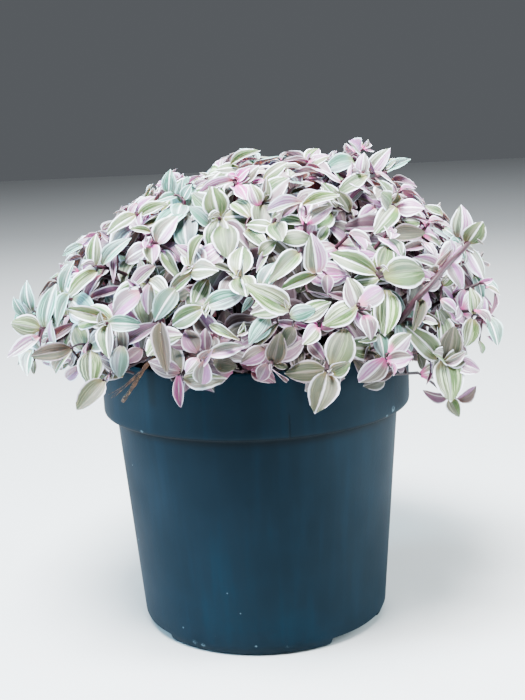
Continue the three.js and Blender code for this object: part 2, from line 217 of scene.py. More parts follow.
def stretchOf(tree, value, rise, full, fall, end):
    return times(tree, fade(tree, value, rise, full), fadeOut(tree, value, fall, end))


def mixColour(tree, amount, first, second, mode="MIX"):
    node = addNode(tree, "ShaderNodeMix", data_type="RGBA", blend_type=mode)
    feedAll(tree, (amount, first, second), (node.inputs["Factor"], node.inputs[6], node.inputs[7]))
    return node.outputs[2]


def joinAxes(tree, *values):
    node = addNode(tree, "ShaderNodeCombineXYZ")
    feedAll(tree, values, node.inputs)
    return node.outputs[0]


def splitAxes(tree, vector):
    node = addNode(tree, "ShaderNodeSeparateXYZ")
    tree.links.new(vector, node.inputs[0])
    return tuple(node.outputs)


def onObject(tree):
    return addNode(tree, "ShaderNodeTexCoord").outputs["Object"]


def cloud(tree, vector, scale, detail=2.0, roughness=0.5):
    node = addNode(tree, "ShaderNodeTexNoise")
    sockets = [node.inputs[key] for key in ("Vector", "Scale", "Detail", "Roughness")]
    feedAll(tree, (vector, scale, detail, roughness), sockets)
    return node.outputs["Fac"]


def bump(tree, height, shader, strength, distance):
    node = addNode(tree, "ShaderNodeBump")
    sockets = [node.inputs[key] for key in ("Height", "Strength", "Distance")]
    feedAll(tree, (height, strength, distance), sockets)
    tree.links.new(node.outputs[0], shader.inputs["Normal"])


def makeMottle():
    # soft blotches and fine grain on object coordinates, for every finish but the leaf blades
    group = bpy.data.node_groups.new("mottleAndGrain", "ShaderNodeTree")
    details = {"Blotch": 3.0, "Grain": 5.0}
    for name in details:
        group.interface.new_socket(name + " Scale", in_out="INPUT", socket_type="NodeSocketFloat")
        group.interface.new_socket(name, in_out="OUTPUT", socket_type="NodeSocketFloat")
    given = addNode(group, "NodeGroupInput")
    result = addNode(group, "NodeGroupOutput")
    where = onObject(group)
    for name, detail in details.items():
        pattern = cloud(group, where, given.outputs[name + " Scale"], detail)
        group.links.new(pattern, result.inputs[name])
    return group


mottle = makeMottle()


def addMottle(tree, blotchScale, grainScale):
    node = addNode(tree, "ShaderNodeGroup", node_tree=mottle)
    feedAll(tree, (blotchScale, grainScale), (node.inputs["Blotch Scale"], node.inputs["Grain Scale"]))
    return node.outputs["Blotch"], node.outputs["Grain"]


# Short hands for modelling
def deselectAll():
    if bpy.context.object and bpy.context.object.mode != "OBJECT":
        bpy.ops.object.mode_set(mode="OBJECT")
    bpy.ops.object.select_all(action="DESELECT")


def activate(piece):
    deselectAll()
    piece.select_set(True)
    bpy.context.view_layer.objects.active = piece


def editAll(piece):
    activate(piece)
    bpy.ops.object.mode_set(mode="EDIT")
    bpy.ops.mesh.select_all(action="SELECT")


def cutAway(piece, cutter):
    activate(piece)
    modifier = piece.modifiers.new("cut", "BOOLEAN")
    modifier.operation, modifier.object, modifier.solver = "DIFFERENCE", cutter, "EXACT"
    bpy.ops.object.modifier_apply(modifier=modifier.name)
    bpy.data.objects.remove(cutter)


def joinAll(pieces):
    activate(pieces[0])
    for piece in pieces[1:]:
        piece.select_set(True)
    bpy.ops.object.join()
    return pieces[0]


def smooth(piece, angle):
    activate(piece)
    bpy.ops.object.shade_smooth_by_angle(angle=angle * degree)


def turnedPiece(name, profile, segments):
    # a ring is drawn out and widened or narrowed along the profile, then both ends are closed
    deselectAll()
    radius, height = profile[0]
    bpy.ops.mesh.primitive_circle_add(
        vertices=segments, radius=radius * 0.001, fill_type="NGON", location=inMetres((0, 0, height)))
    piece = bpy.context.object
    piece.name = name
    editAll(piece)
    for nextRadius, nextHeight in profile[1:]:
        climb = (0, 0, (nextHeight - height) * 0.001)
        bpy.ops.mesh.extrude_region_move(TRANSFORM_OT_translate={"value": climb})
        grow = nextRadius / radius
        bpy.ops.transform.resize(value=(grow, grow, 1))
        radius, height = nextRadius, nextHeight
    bpy.ops.mesh.select_all(action="SELECT")
    bpy.ops.mesh.normals_make_consistent(inside=False)
    activate(piece)
    bpy.ops.object.transform_apply(location=True, rotation=True, scale=True)
    return piece


# Pot: a tapered wall, a wide hollow band with a rolled lip, a floor on a notched foot ring
pot = {
    "height": 111, "rimRadius": 60, "bandFoot": 86, "wallTop": 55.3, "wallFoot": 48.3, "thickness": 1.4,
    "contactInner": 42.6, "contactOuter": 45.2, "floorRise": 4, "segments": 144,
    "notchAngles": (50, 170, 290), "notchWidth": 32, "notchDepth": 24, "notchHeight": 3.4,
    "drainCount": 6, "drainCircle": 30, "drainRadius": 3.5, "drainSides": 24,
    # the plastic's two tones come first, then painted shade for under the lip
    "plastic": tone(0, 18, 28), "deepPlastic": tone(0, 15, 24), "lipShade": tone(0, 5, 9),
    # a dark tone for the mould's seam that also paints a leaf's shadow, then dust and lime
    "seamAndLeafShadow": tone(0, 8, 14), "dust": tone(10, 52, 74), "lime": tone(120, 146, 158),
    "roughness": 0.6, "shine": 0.07, "seamTurn": 10.5, "leafShadowTurn": -38.4,
    # the soft edges of these marks, in metres
    "seamSide": (0.00015, 0.0005), "seamHeights": (0.086, 0.0866, 0.0945, 0.0965),
    # a painted shadow of a hanging leaf: how soft its sides are, and where it starts
    "leafShadowSide": (0.0006, 0.0028), "leafShadowHeights": (0.096, 0.0995),
    # painted shade under the lip: where it rises, is full, starts to fall and ends
    "lipShadeHeights": (0.0815, 0.0855, 0.0869, 0.0877),
    "limeMarks": (  # place and size
        (-42.3, -42.6, 86.6, 1.3), (-29.6, -43.0, 82.6, 1.5), (50.3, -32.8, 89.0, 1.1),
        (47.6, -36.6, 87.0, 0.9), (-27.5, -39.5, 3.6, 1.1), (-24.5, -41.3, 3.2, 0.9),
        (-4.5, -48.2, 4.8, 0.5), (7.0, -48.0, 3.6, 0.6)),
}


def wallRadius(height):
    return pot["wallFoot"] + (pot["wallTop"] - pot["wallFoot"]) * height / pot["bandFoot"]


def fromPlane(tree, x, y, turn):
    # distance from the upright plane through the pot's axis that faces this way
    sides = ((x, potAxis[0], math.cos(turn * degree)), (y, potAxis[1], math.sin(turn * degree)))
    parts = [times(tree, calc(tree, "SUBTRACT", axis, float(middle)), share) for axis, middle, share in sides]
    return calc(tree, "ABSOLUTE", plus(tree, *parts))


def makePotPlastic():
    material, tree, shader = newMaterial("nurseryPotPlastic")
    where = onObject(tree)
    x, y, z = splitAxes(tree, where)
    blotch, grain = addMottle(tree, 22.0, 900.0)
    colour = mixColour(tree, fade(tree, blotch, 0.3, 0.7), pot["plastic"], pot["deepPlastic"])
    # faint upright draw lines of the mould
    drawn = joinAxes(tree, times(tree, x, 260.0), times(tree, y, 260.0), times(tree, z, 6.0))
    lines = cloud(tree, drawn, 1.0)
    colour = mixColour(tree, fade(tree, lines, 0.45, 0.8, 0.0, 0.06), colour, pot["dust"])
    # a thin film of dust, with more of it near the foot
    low = fadeOut(tree, z, 0.0, 0.03)
    film = times(tree, plus(tree, times(tree, low, 0.05), 0.025),
                 fade(tree, cloud(tree, where, 60.0, 4.0, 0.6), 0.42, 0.72))
    colour = mixColour(tree, film, colour, pot["dust"])
    # small pale specks of lime
    specks = addNode(tree, "ShaderNodeTexVoronoi", feature="F1")
    feedAll(tree, (where, 170.0), (specks.inputs["Vector"], specks.inputs["Scale"]))
    chosen = calc(tree, "GREATER_THAN", cloud(tree, where, 95.0, 0.0), 0.64)
    dots = times(tree, fadeOut(tree, specks.outputs["Distance"], 0.03, 0.07), chosen)
    # chalky marks under the lip and along the foot
    ragged = fade(tree, cloud(tree, where, 900.0, 3.0, 0.7), 0.4, 0.6)
    for *place, size in pot["limeMarks"]:
        gap = addNode(tree, "ShaderNodeVectorMath", operation="DISTANCE")
        feedAll(tree, (where, inMetres(place)), gap.inputs)
        mark = fadeOut(tree, gap.outputs["Value"], size * 0.0006, size * 0.0013)
        dots = calc(tree, "MAXIMUM", dots, times(tree, mark, ragged))
    colour = mixColour(tree, times(tree, dots, 0.38), colour, pot["lime"])
    # painted shade under the lip, where the band keeps light off the wall
    lipShade = stretchOf(tree, z, *pot["lipShadeHeights"])
    colour = mixColour(tree, times(tree, lipShade, 0.8), colour, pot["lipShade"])
    # the mould's seam on the band, and a painted shadow of a hanging leaf at the front left
    seam = times(tree, fadeOut(tree, fromPlane(tree, x, y, pot["seamTurn"]), *pot["seamSide"]),
                 stretchOf(tree, z, *pot["seamHeights"]))
    seamAndLeafShadow = times(tree, fadeOut(tree, fromPlane(tree, x, y, pot["leafShadowTurn"]), *pot["leafShadowSide"]),
                   fade(tree, z, *pot["leafShadowHeights"]))
    seamAndLeafShadow = times(tree, seamAndLeafShadow, calc(tree, "LESS_THAN", y, 0.0))
    dark = calc(tree, "MAXIMUM", times(tree, seam, 0.75), times(tree, seamAndLeafShadow, 0.7))
    tree.links.new(mixColour(tree, dark, colour, pot["seamAndLeafShadow"]), shader.inputs["Base Color"])
    rough = plus(tree, fade(tree, blotch, 0.3, 0.7, 0.0, 0.1), pot["roughness"])
    tree.links.new(plus(tree, rough, times(tree, film, 0.25)), shader.inputs["Roughness"])
    shader.inputs["Specular IOR Level"].default_value = pot["shine"]
    height = plus(tree, times(tree, grain, 0.5), times(tree, lines, 0.3))
    bump(tree, calc(tree, "SUBTRACT", height, seam), shader, 0.2, 0.0004)
    return material


def makePot():
    wall, band, thick = pot["wallTop"], pot["bandFoot"], pot["thickness"]
    rim, top, floor = pot["rimRadius"], pot["height"], pot["floorRise"]
    profile = [(pot["contactInner"] - 0.7, floor), (pot["contactInner"], 0), (pot["contactOuter"], 0)]
    profile += [(46.6, 0.5), (47.4, 1.5)]
    profile += [(wallRadius(height), height) for height in (4.5, 12, 25, 40, 55, 70, 82.5, 84.9)]
    profile += [(55.9, 85.8), (58.9, 86.5), (59.5, 86.8), (59.85, 87.3), (rim, 88.2), (rim, 90.4)]
    profile += [(rim, 98), (rim, top - 0.9), (rim - 0.15, top - 0.4), (rim - 0.5, top)]
    profile += [(rim - thick + 0.3, top), (rim - thick, top - 0.4), (rim - thick, band + 3.2)]
    profile += [(wall - thick, band + 1), (wallRadius(6) - thick, floor + thick)]
    piece = turnedPiece("nurseryPot", profile, pot["segments"])
    reach, circle = pot["contactOuter"], pot["drainCircle"]
    for angle in pot["notchAngles"]:
        deselectAll()
        side = inMetres((math.sin(angle * degree) * reach, -math.cos(angle * degree) * reach, 0))
        bpy.ops.mesh.primitive_cube_add(size=0.001, location=side, rotation=(0, 0, angle * degree))
        bpy.context.object.scale = (pot["notchWidth"], pot["notchDepth"], pot["notchHeight"] * 2)
        cutAway(piece, bpy.context.object)
    for i in range(pot["drainCount"]):
        deselectAll()
        turn = (i + 0.5) * 2 * math.pi / pot["drainCount"]
        middle = inMetres((circle * math.cos(turn), circle * math.sin(turn), floor))
        bpy.ops.mesh.primitive_cylinder_add(
            vertices=pot["drainSides"], radius=pot["drainRadius"] * 0.001, depth=floor * 0.002,
            location=middle)
        cutAway(piece, bpy.context.object)
    smooth(piece, 30)
    piece.data.materials.append(makePotPlastic())
    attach(piece, "root")
    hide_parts("pot")


makePot()
print("pot is made")


# Potting mix: lumpy on top, with crumbs and a few white grains
soil = {
    "top": 99, "crown": 0.8, "gap": 0.4, "rings": 26, "segments": 96,
    "crumbs": 260, "crumbReach": 54, "gritShare": 0.12, "row": 300,
    "peat": tone(52, 38, 30), "darkPeat": tone(24, 18, 15), "fibre": tone(110, 84, 60),
    "grit": tone(190, 184, 172), "darkGrit": tone(140, 130, 118),
}


def makePeat():
    material, tree, shader = newMaterial("peatMix")
    blotch, grain = addMottle(tree, 180.0, 700.0)
    colour = mixColour(tree, fade(tree, blotch, 0.35, 0.65), soil["peat"], soil["darkPeat"])
    colour = mixColour(tree, fade(tree, grain, 0.62, 0.72, 0.0, 0.5), colour, soil["fibre"])
    tree.links.new(colour, shader.inputs["Base Color"])
    shader.inputs["Roughness"].default_value = 0.95
    bump(tree, plus(tree, grain, blotch), shader, 0.7, 0.0012)
    return material


def makeGrit():
    material, tree, shader = newMaterial("whiteGrit")
    blotch, grain = addMottle(tree, 400.0, 1500.0)
    tree.links.new(mixColour(tree, blotch, soil["grit"], soil["darkGrit"]), shader.inputs["Base Color"])
    shader.inputs["Roughness"].default_value = 0.9
    bump(tree, grain, shader, 0.4, 0.0005)
    return material


def makeCrumbs(shape, peat, grit):
    crumbs = []
    for i in range(soil["crumbs"]):
        turn = i * goldenTurn
        reach = soil["crumbReach"] * math.sqrt((i + 0.5) / soil["crumbs"])
        size, spinTurn, tip, flat = betweenAll(((0.6, 1.5), (0, 6.28), (0, 3), (0.5, 1)), soil["row"], i, 1)
        crumb = newObject("crumb", shape.copy())
        place = inMetres((reach * math.cos(turn), reach * math.sin(turn), soil["top"] + 0.35 * size))
        spin = Matrix.Rotation(spinTurn, 4, "Z") @ Matrix.Rotation(tip, 4, "X")
        stretch = Matrix.Diagonal((size, size * flat, size * 0.6, 1))
        crumb.data.transform(Matrix.Translation(place) @ spin @ stretch)
        crumb.data.materials.append(grit if draw(soil["row"], i, 5) < soil["gritShare"] else peat)
        crumbs.append(crumb)
    return crumbs


def makeSoil():
    inset = pot["thickness"] + soil["gap"]
    outer, band, top = pot["rimRadius"] - inset, pot["bandFoot"], soil["top"]
    profile = [(wallRadius(6) - inset, pot["floorRise"] + inset), (wallRadius(band) - inset, band + 1)]
    profile += [(outer, band + 3.5), (outer, top - 1.2), (outer - 1, top - 0.3)]
    for i in range(soil["rings"]):
        share = 1 - (i + 0.5) / soil["rings"]
        profile.append(((outer - 2) * share, top + soil["crown"] * (1 - share) - 0.2))
    piece = turnedPiece("pottingMix", profile, soil["segments"])
    for vertex in piece.data.vertices:
        if vertex.co.z > (top - 0.8) * 0.001:
            spot = Vector((vertex.co.x, vertex.co.y, 0)) * 110
            vertex.co.z += 0.0011 * noise.fractal(spot, 1.0, 2.0, 4) - 0.0006
    smooth(piece, 60)
    peat, grit = makePeat(), makeGrit()
    piece.data.materials.append(peat)
    piece.data.materials.append(grit)
    deselectAll()
    bpy.ops.mesh.primitive_ico_sphere_add(subdivisions=1, radius=0.001)
    pattern = bpy.context.object
    crumbs = makeCrumbs(pattern.data, peat, grit)
    bpy.data.objects.remove(pattern)
    joinAll([piece] + crumbs)
    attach(piece, "root")
    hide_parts("soil")


makeSoil()
print("potting mix is made")


# Mound of leafy stems: the frame's own layout, worked out again from the same values
stemForm = {
    "radius": 1.35, "shootRadius": 1.15, "clearance": 0.7, "branchAt": 0.7, "lift": 0.42, "stretch": 0.36,
    "holeDepth": 12, "holeSpacing": 5.6, "baseReach": 47, "farthest": 51, "straightStart": 5,
}
mound = {
    "centre": 118, "reach": 87, "rise": 61, "drop": 26, "edge": 95 * degree, "lean": 0.035,
    "facing": 104, "tipSpread": 1.3, "spiralCount": 60, "tipSpacing": 19.5, "shootSpacing": 14,
}
leafForm = {
    "length": 16.8, "aspect": 0.68, "rise": 0.2, "droop": 0.4, "cup": 0.2, "sag": 0.16,
    "clearance": 1.3, "reach": 11, "stemLeafPlace": 0.86, "stemLeafOpening": 62,
}
lobes = [
    {"middle": unit(np.array([0.59, 0.1, 0.8])), "height": 0.09, "sharpness": 12},
    {"middle": unit(np.array([-0.78, 0, 0.62])), "height": -0.08, "sharpness": 7},
]
# growing tips seen from the front, one row for each stem, its own tip first, each with its tint
seenStems = [
    [(-53, -55, 150, "green"), (-39, -41, 166, "blush")], [(-66, -53, 139, "mint"), (-56, -69, 124, "green")],
    [(-81, -38, 131, "mint"), (-79, -45, 117, "mint")], [(-49, -72, 133, "green"), (-37, -75, 146, "lilac")],
    [(-30, -82, 130, "green"), (-46, -76, 117, "mauve")], [(-33, -60, 158, "blush"), (-22, -44, 170, "mint")],
    [(-20, -75, 150, "green"), (-15, -84, 138, "green")], [(-10, -58, 165, "green"), (-4, -34, 176, "pink")],
    [(-4, -76, 149, "green"), (9, -60, 164, "green")], [(-16, -86, 122, "mauve"), (-4, -89, 131, "green")],
    [(10, -85, 139, "green"), (5, -90, 120, "mauve")], [(22, -75, 149, "lilac"), (19, -60, 163, "blush")],
    [(36, -79, 135, "blush"), (23, -87, 117, "green")], [(43, -69, 147, "green"), (51, -33, 165, "green")],
    [(56, -69, 129, "green"), (44, -79, 116, "pink")], [(69, -42, 145, "lilac"), (82, -12, 147, "green")],
    [(79, -41, 126, "blush"), (65, -60, 112, "green")], [(37, -24, 174, "lilac"), (23, -5, 179, "blush")],
    [(45, 3, 183, "blush"), (55, 14, 173, "lilac")], [(77, -30, 100, "lilac")], [(-73, -34, 104, "mint")],
]
dryStemBase = (-29, -31)


def turnAbout(vector, axis, angle):
    cosine, sine = math.cos(angle), math.sin(angle)
    return vector * cosine + np.cross(axis, vector) * sine + axis * (axis @ vector) * (1 - cosine)


def clearOfPot(points, margin):
    reach = np.hypot(points[:, 0], points[:, 1])
    overRim = points[:, 2] > pot["height"] + margin
    overSoil = points[:, 2] > soil["top"] + soil["crown"] + margin
    inside = reach <= pot["rimRadius"] - pot["thickness"] - margin
    return bool(np.all((reach > pot["rimRadius"] + margin) | np.where(inside, overSoil, overRim)))


def moundDirection(point):
    return unit(np.array([point[0], point[1], point[2] - mound["centre"]]))


def moundRadius(direction):
    flat = math.hypot(direction[0], direction[1]) / mound["reach"]
    rise = direction[2] / (mound["rise"] if direction[2] > 0 else mound["drop"])
    swell = 1 + mound["lean"] * direction[0]
    for lobe in lobes:
        swell += lobe["height"] * max(0, direction @ lobe["middle"]) ** lobe["sharpness"]
    return swell / math.hypot(flat, rise)


def moundPoint(direction, share=1.0):
    return direction * (moundRadius(direction) * share) + upward * mound["centre"]


def moundNormal(point):
    rise = mound["rise"] if point[2] > mound["centre"] else mound["drop"] * 1.6
    flat = mound["reach"] ** 2
    return unit(np.array([point[0] / flat, point[1] / flat, (point[2] - mound["centre"]) / rise ** 2]))


def farFrom(points, point, space):
    return bool(np.all(np.linalg.norm(np.array(points) - point, axis=1) > space))


def spiralDirection(i, count, edge, twist=0.0):
    level = 1 - (1 - math.cos(edge)) * (i + 0.5) / count
    flat = math.sqrt(1 - level * level)
    turn = i * goldenTurn + twist
    return np.array([flat * math.cos(turn), flat * math.sin(turn), level])


def allTips():
    stems = [[np.array(tip[:3], float) for tip in row] for row in seenStems]
    taken = [tip for row in stems for tip in row]
    for i in range(mound["spiralCount"]):
        tip = moundPoint(spiralDirection(i, mound["spiralCount"], mound["edge"]))
        if farFrom(taken, tip, mound["tipSpacing"]):
            taken.append(tip)
            stems.append([tip])
    for i, row in enumerate(stems):
        normal = moundNormal(row[0])
        across = unit(np.cross(normal, [0.3, 0.1, 1]))
        for tryout in range(12):
            if len(row) >= 3:
                break
            reach = between(17, 23, i, tryout, 1)
            turn = between(0, 360, i, 0, 2) * degree + tryout * 100 * degree
            direction = moundDirection(row[0] + turnAbout(across, normal, turn) * reach)
            tip = moundPoint(direction)
            if direction[2] >= math.cos(mound["edge"]) and farFrom(taken, tip, mound["shootSpacing"]):
                taken.append(tip)
                row.append(tip)
    return stems


def tipAxis(tip):
    spread = mound["tipSpread"]
    return unit(np.array([spread * tip[0], spread * tip[1], tip[2] - mound["facing"]]))


def alongRings(rings, t):
    place = held(t) * (len(rings) - 1)
    stretch = min(int(place), len(rings) - 2)
    return rings[stretch] + (rings[stretch + 1] - rings[stretch]) * (place - stretch)


def ringPoints(rings, count):
    return np.array([alongRings(rings, i / count) for i in range(count + 1)])


def bezier(corners, t):
    a, b, c, d = corners
    s = 1 - t
    return a * s ** 3 + b * 3 * s * s * t + c * 3 * s * t * t + d * t ** 3


def stemBend(base, tip):
    outward = unit(np.array([tip[0], tip[1], 0]))
    arrive = unit(tipAxis(tip) * 0.5 + outward * 0.6)
    run = math.dist(base, tip)
    lift = max(stemForm["lift"] * (tip[2] - soil["top"]), stemForm["stretch"] * run)
    return [base, base + upward * lift, tip - arrive * stemForm["stretch"] * run, tip]


def linesClear(points, others, gap):
    if len(others) == 0:
        return True
    return bool(np.linalg.norm(points[:, None] - np.array(others)[None], axis=2).min() > gap)


startTries = [
    (0, 0), (5, 0), (-5, 0), (0, 7), (0, -7), (5, 7), (5, -7), (-5, 7), (-5, -7),
    (10, 0), (-10, 0), (0, 14), (0, -14), (9, 12), (9, -12), (-9, 12), (-9, -12),
    (14, 4), (-14, -4), (4, 20), (-4, -20), (18, 0), (-18, 0), (12, 24), (-12, -24),
]


def placeStems(tipRows, holes):
    stems, lines, owners = [], [], []
    level = soil["top"] + stemForm["straightStart"]
    for number, tips in enumerate(tipRows):
        tip = tips[0]
        polar = math.acos(held(moundDirection(tip)[2], -1))
        azimuth = math.atan2(tip[1], tip[0])
        spread = stemForm["baseReach"] * (polar / mound["edge"]) ** 0.85
        for shift, turn in startTries:
            reach = held(spread + shift, 0, stemForm["farthest"])
            angle = azimuth + turn * degree
            base = np.array([reach * math.cos(angle), reach * math.sin(angle), level])
            if any(math.hypot(x - base[0], y - base[1]) < stemForm["holeSpacing"] for x, y in holes):
                continue
            bend = stemBend(base, tip)
            foot = np.array([base[0], base[1], soil["top"] - stemForm["holeDepth"]])
            rings = [foot] + [bezier(bend, i / 4) for i in range(5)]
            points = ringPoints(rings, 40)
            points = points[points[:, 2] > level - 1]
            if not clearOfPot(points, stemForm["radius"] + 0.3):
                continue
            if not linesClear(points, lines, 2 * stemForm["radius"] + stemForm["clearance"]):
                continue
            holes.append((base[0], base[1]))
            lines.extend(points)
            owners.extend([len(stems)] * len(points))
            shoot = {"rings": rings, "tip": tip, "bend": bend, "foot": foot}
            stems.append({"number": number, "index": len(stems), "rings": rings, "points": points,
                          "tips": tips, "shoots": [shoot]})
            break
    for stem in stems:
        for tip in stem["tips"][1:]:
            rings = [alongRings(stem["rings"], stemForm["branchAt"]), tip]
            points = ringPoints(rings, 13)
            others = np.array(lines)[np.array(owners) != stem["index"]]
            gap = stemForm["radius"] + stemForm["shootRadius"] + stemForm["clearance"]
            if clearOfPot(points, stemForm["shootRadius"] + 0.3) and linesClear(points, others, gap):
                lines.extend(points)
                owners.extend([stem["index"]] * len(points))
                stem["points"] = np.concatenate([stem["points"], points])
                stem["shoots"].append({"rings": rings, "tip": tip})
    return stems


# Leaves of the frame: outline, arch, and the tests that keep them clear of each other
def outline(along):
    return np.sin(math.pi * along ** 0.72) ** 0.9


def leafArch(leaf, along):
    return leaf["length"] * (leafForm["rise"] * along - leafForm["droop"] * along * along)


sampleAlong = np.append(np.repeat([0.1, 0.23, 0.36, 0.49, 0.62, 0.75, 0.88], 5), 1.0)
sampleAcross = np.append(np.tile([-1, -0.5, 0, 0.5, 1], 7), 0.0)
sampleOutline = np.append(outline(sampleAlong[:-1]), 0.0)


def sampled(leaf):
    half = 0.5 * leaf["width"] * sampleOutline
    lift = leafArch(leaf, sampleAlong) - leafForm["cup"] * half * np.abs(sampleAcross)
    leaf["samples"] = leaf["root"] + np.outer(leaf["length"] * sampleAlong, leaf["forward"])
    leaf["samples"] += np.outer(sampleAcross * half, leaf["side"]) + np.outer(lift, leaf["face"])
    halfway = leaf["root"] + leaf["forward"] * leaf["length"] * 0.5
    leaf["middle"] = halfway + leaf["face"] * leafArch(leaf, 0.5)
    return leaf


def makeLeaf(root, direction, upper, length, width, owner, rank):
    forward = unit(direction - upward * leafForm["sag"])
    face = unit(upper - forward * (upper @ forward))
    side = np.cross(face, forward)
    return sampled({"root": root, "forward": forward, "face": face, "side": side, "length": length,
                    "width": width, "owner": owner, "rank": rank})


def touches(leaf, points, clearance, margin):
    offset = points - leaf["root"]
    along = offset @ leaf["forward"] / leaf["length"]
    share = np.clip(along, 0, 1)
    half = 0.5 * leaf["width"] * outline(share)
    across = np.abs(offset @ leaf["side"])
    surface = leafArch(leaf, share) - leafForm["cup"] * np.minimum(across, half)
    near = np.abs(offset @ leaf["face"] - surface) < clearance
    return near & (along >= -0.06) & (along <= 1.07) & (across <= half + margin)


eye = np.array(view["place"], float)
spacing = {  # how far leaves keep from the pot, from stems, from leaves of their own stem and from others
    "pot": 1.1, "stem": 1.0, "stemSide": 1.7, "own": 0.7, "ownFrom": 6, "leafSide": 0.9,
    "shoot": 1.3, "shootSide": 0.5,
}


class Foliage:
    def __init__(self, stems):
        self.leaves = []
        self.middles = np.zeros((0, 3))
        self.lengths = np.zeros(0)
        self.stemPoints = np.concatenate([stem["points"] for stem in stems])
        self.stemOwners = np.concatenate([[stem["index"]] * len(stem["points"]) for stem in stems])
        self.sights, self.reaches, self.widths = np.zeros((0, 3)), np.zeros(0), np.zeros(0)

    def add(self, leaf):
        self.leaves.append(leaf)
        self.middles = np.vstack([self.middles, leaf["middle"]])
        self.lengths = np.append(self.lengths, leaf["length"])

    def addStem(self, points, owner):
        self.stemPoints = np.vstack([self.stemPoints, points])
        self.stemOwners = np.append(self.stemOwners, [owner] * len(points))

    def isClear(self, leaf, clearance, reach):
        end = leaf["samples"][-1]
        if math.dist(end, (0, 0, mound["centre"])) > moundRadius(moundDirection(end)) + reach:
            return False
        if not clearOfPot(leaf["samples"], spacing["pot"]) or self.hides(leaf):
            return False
        # only stems and leaves that its length could reach are tested
        gaps = np.linalg.norm(self.stemPoints - leaf["middle"], axis=1)
        near = (gaps < 0.62 * leaf["length"] + 2) & (self.stemOwners != leaf["owner"])
        stemClearance = clearance + spacing["stem"]
        if near.any() and touches(leaf, self.stemPoints[near], stemClearance, spacing["stemSide"]).any():
            return False
        gaps = np.linalg.norm(self.middles - leaf["middle"], axis=1)
        for i in np.flatnonzero(gaps < 0.62 * (self.lengths + leaf["length"]) + 4):
            other = self.leaves[i]
            if other["owner"] == leaf["owner"]:
                outer = leaf["samples"][15:]
                outer = outer[np.linalg.norm(outer - other["root"], axis=1) > spacing["ownFrom"]]
                if len(outer) and touches(other, outer, spacing["own"], 0).any():
                    return False
            elif gaps[i] <= 0.56 * (other["length"] + leaf["length"]) + 2:
                for first, second in ((other, leaf), (leaf, other)):
                    if touches(first, second["samples"], clearance, spacing["leafSide"]).any():
                        return False
        return True

    def keepOpen(self, places, width, depth):
        lines = np.array(places, float) - eye
        reaches = np.linalg.norm(lines, axis=1)
        self.sights = np.vstack([self.sights, lines / reaches[:, None]])
        self.reaches = np.append(self.reaches, reaches + depth)
        self.widths = np.append(self.widths, [width] * len(reaches))

    def hides(self, leaf):
        # between the camera and what stays in view
        offset = leaf["samples"] - eye
        along = offset @ self.sights.T
        aside = np.sqrt(np.maximum((offset ** 2).sum(axis=1)[:, None] - along ** 2, 0))
        return bool(((aside < self.widths) & (along < self.reaches)).any())

    def shootIsClear(self, points, owner, gap):
        gaps = np.linalg.norm(self.stemPoints[self.stemOwners != owner][None] - points[:, None], axis=2)
        if gaps.min() < gap:
            return False
        near = np.linalg.norm(self.middles[None] - points[:, None], axis=2).min(axis=0)
        for i in np.flatnonzero(near < 0.62 * self.lengths + 2):
            if touches(self.leaves[i], points, spacing["shoot"], spacing["shootSide"]).any():
                return False
        return True


leafTries = [
    (0, 0, 1), (16, 0, 1), (-16, 0, 1), (0, -13, 1), (28, -8, 0.96), (-28, -8, 0.96),
    (0, 12, 0.96), (36, 4, 0.9), (-36, 4, 0.9), (0, -26, 0.92), (20, -22, 0.88), (-20, -22, 0.88),
    (48, -10, 0.82), (-48, -10, 0.82), (0, 0, 0.76), (0, -36, 0.8), (30, -30, 0.74), (-30, -30, 0.74),
]
# back from the tip, size and tilt: three in the frame, then an outer one and young ones in the heart
rosette = [(4.6, 1.05, 74), (2.4, 0.97, 64), (0.3, 0.8, 46)]
outerLeaf = (7.2, 1.0, 88)
youngLeaves = [(0.2, 0.52, 27), (-0.3, 0.34, 12)]


def rosetteLeaf(owner, number, shootNumber, shoot, order, form, change):
    turn, tilt, size = change
    item = shootNumber * 10 + order
    back, ownSize, ownTilt = form
    axis = tipAxis(shoot["tip"])
    axis = unit(axis + betweenAll(((-0.2, 0.2), (-0.2, 0.2), (-0.1, 0.25)), number, shootNumber, 9))
    level = upward if abs(axis[2]) < 0.92 else np.array([0.0, 1.0, 0.0])
    across = unit(np.cross(axis, level))
    start = between(0, 360, number, shootNumber, 3) * degree
    outward = turnAbout(across, axis, start + order * goldenTurn + turn * degree)
    opening = (ownTilt + tilt + between(-8, 8, number, item, 4)) * degree
    rise, spread = math.cos(opening), math.sin(opening)
    length = leafForm["length"] * ownSize * size * between(0.9, 1.1, number, item, 5)
    width = length * leafForm["aspect"] * between(0.88, 1.14, number, item, 6)
    before = shoot["rings"][-2]
    root = shoot["tip"] + (before - shoot["tip"]) * (back / math.dist(shoot["tip"], before))
    forward, upper = axis * rise + outward * spread, axis * spread - outward * rise
    return makeLeaf(root, forward, upper, length, width, owner, order)


def stemLeaf(stem, change):
    turn, tilt, size = change
    number, place = stem["number"], leafForm["stemLeafPlace"]
    root = alongRings(stem["rings"], place)
    forward = unit(alongRings(stem["rings"], place + 0.0001) - alongRings(stem["rings"], place - 0.0001))
    normal = unit(moundNormal(root) + upward * 0.2)
    sideways = unit(np.cross(forward, normal))
    sense = 1 if draw(number, 0, 7) < 0.5 else -1
    opening = (leafForm["stemLeafOpening"] + turn + between(-10, 10, number, 60, 8)) * degree
    direction = forward * math.cos(opening) + sideways * sense * math.sin(opening)
    direction = direction + normal * (0.25 - tilt / 60)
    length = leafForm["length"] * size * between(0.92, 1.1, number, 60, 5)
    width = length * leafForm["aspect"] * between(0.88, 1.14, number, 60, 6)
    return makeLeaf(root, direction, normal, length, width, stem["index"], 3)


def firstClear(foliage, shoot, build, clearance, reach, inside=lambda leaves: True):
    for change in leafTries:
        leaf = build(change)
        if foliage.isClear(leaf, clearance, reach) and inside([leaf]):
            leaf["shoot"] = shoot
            foliage.add(leaf)
            return leaf


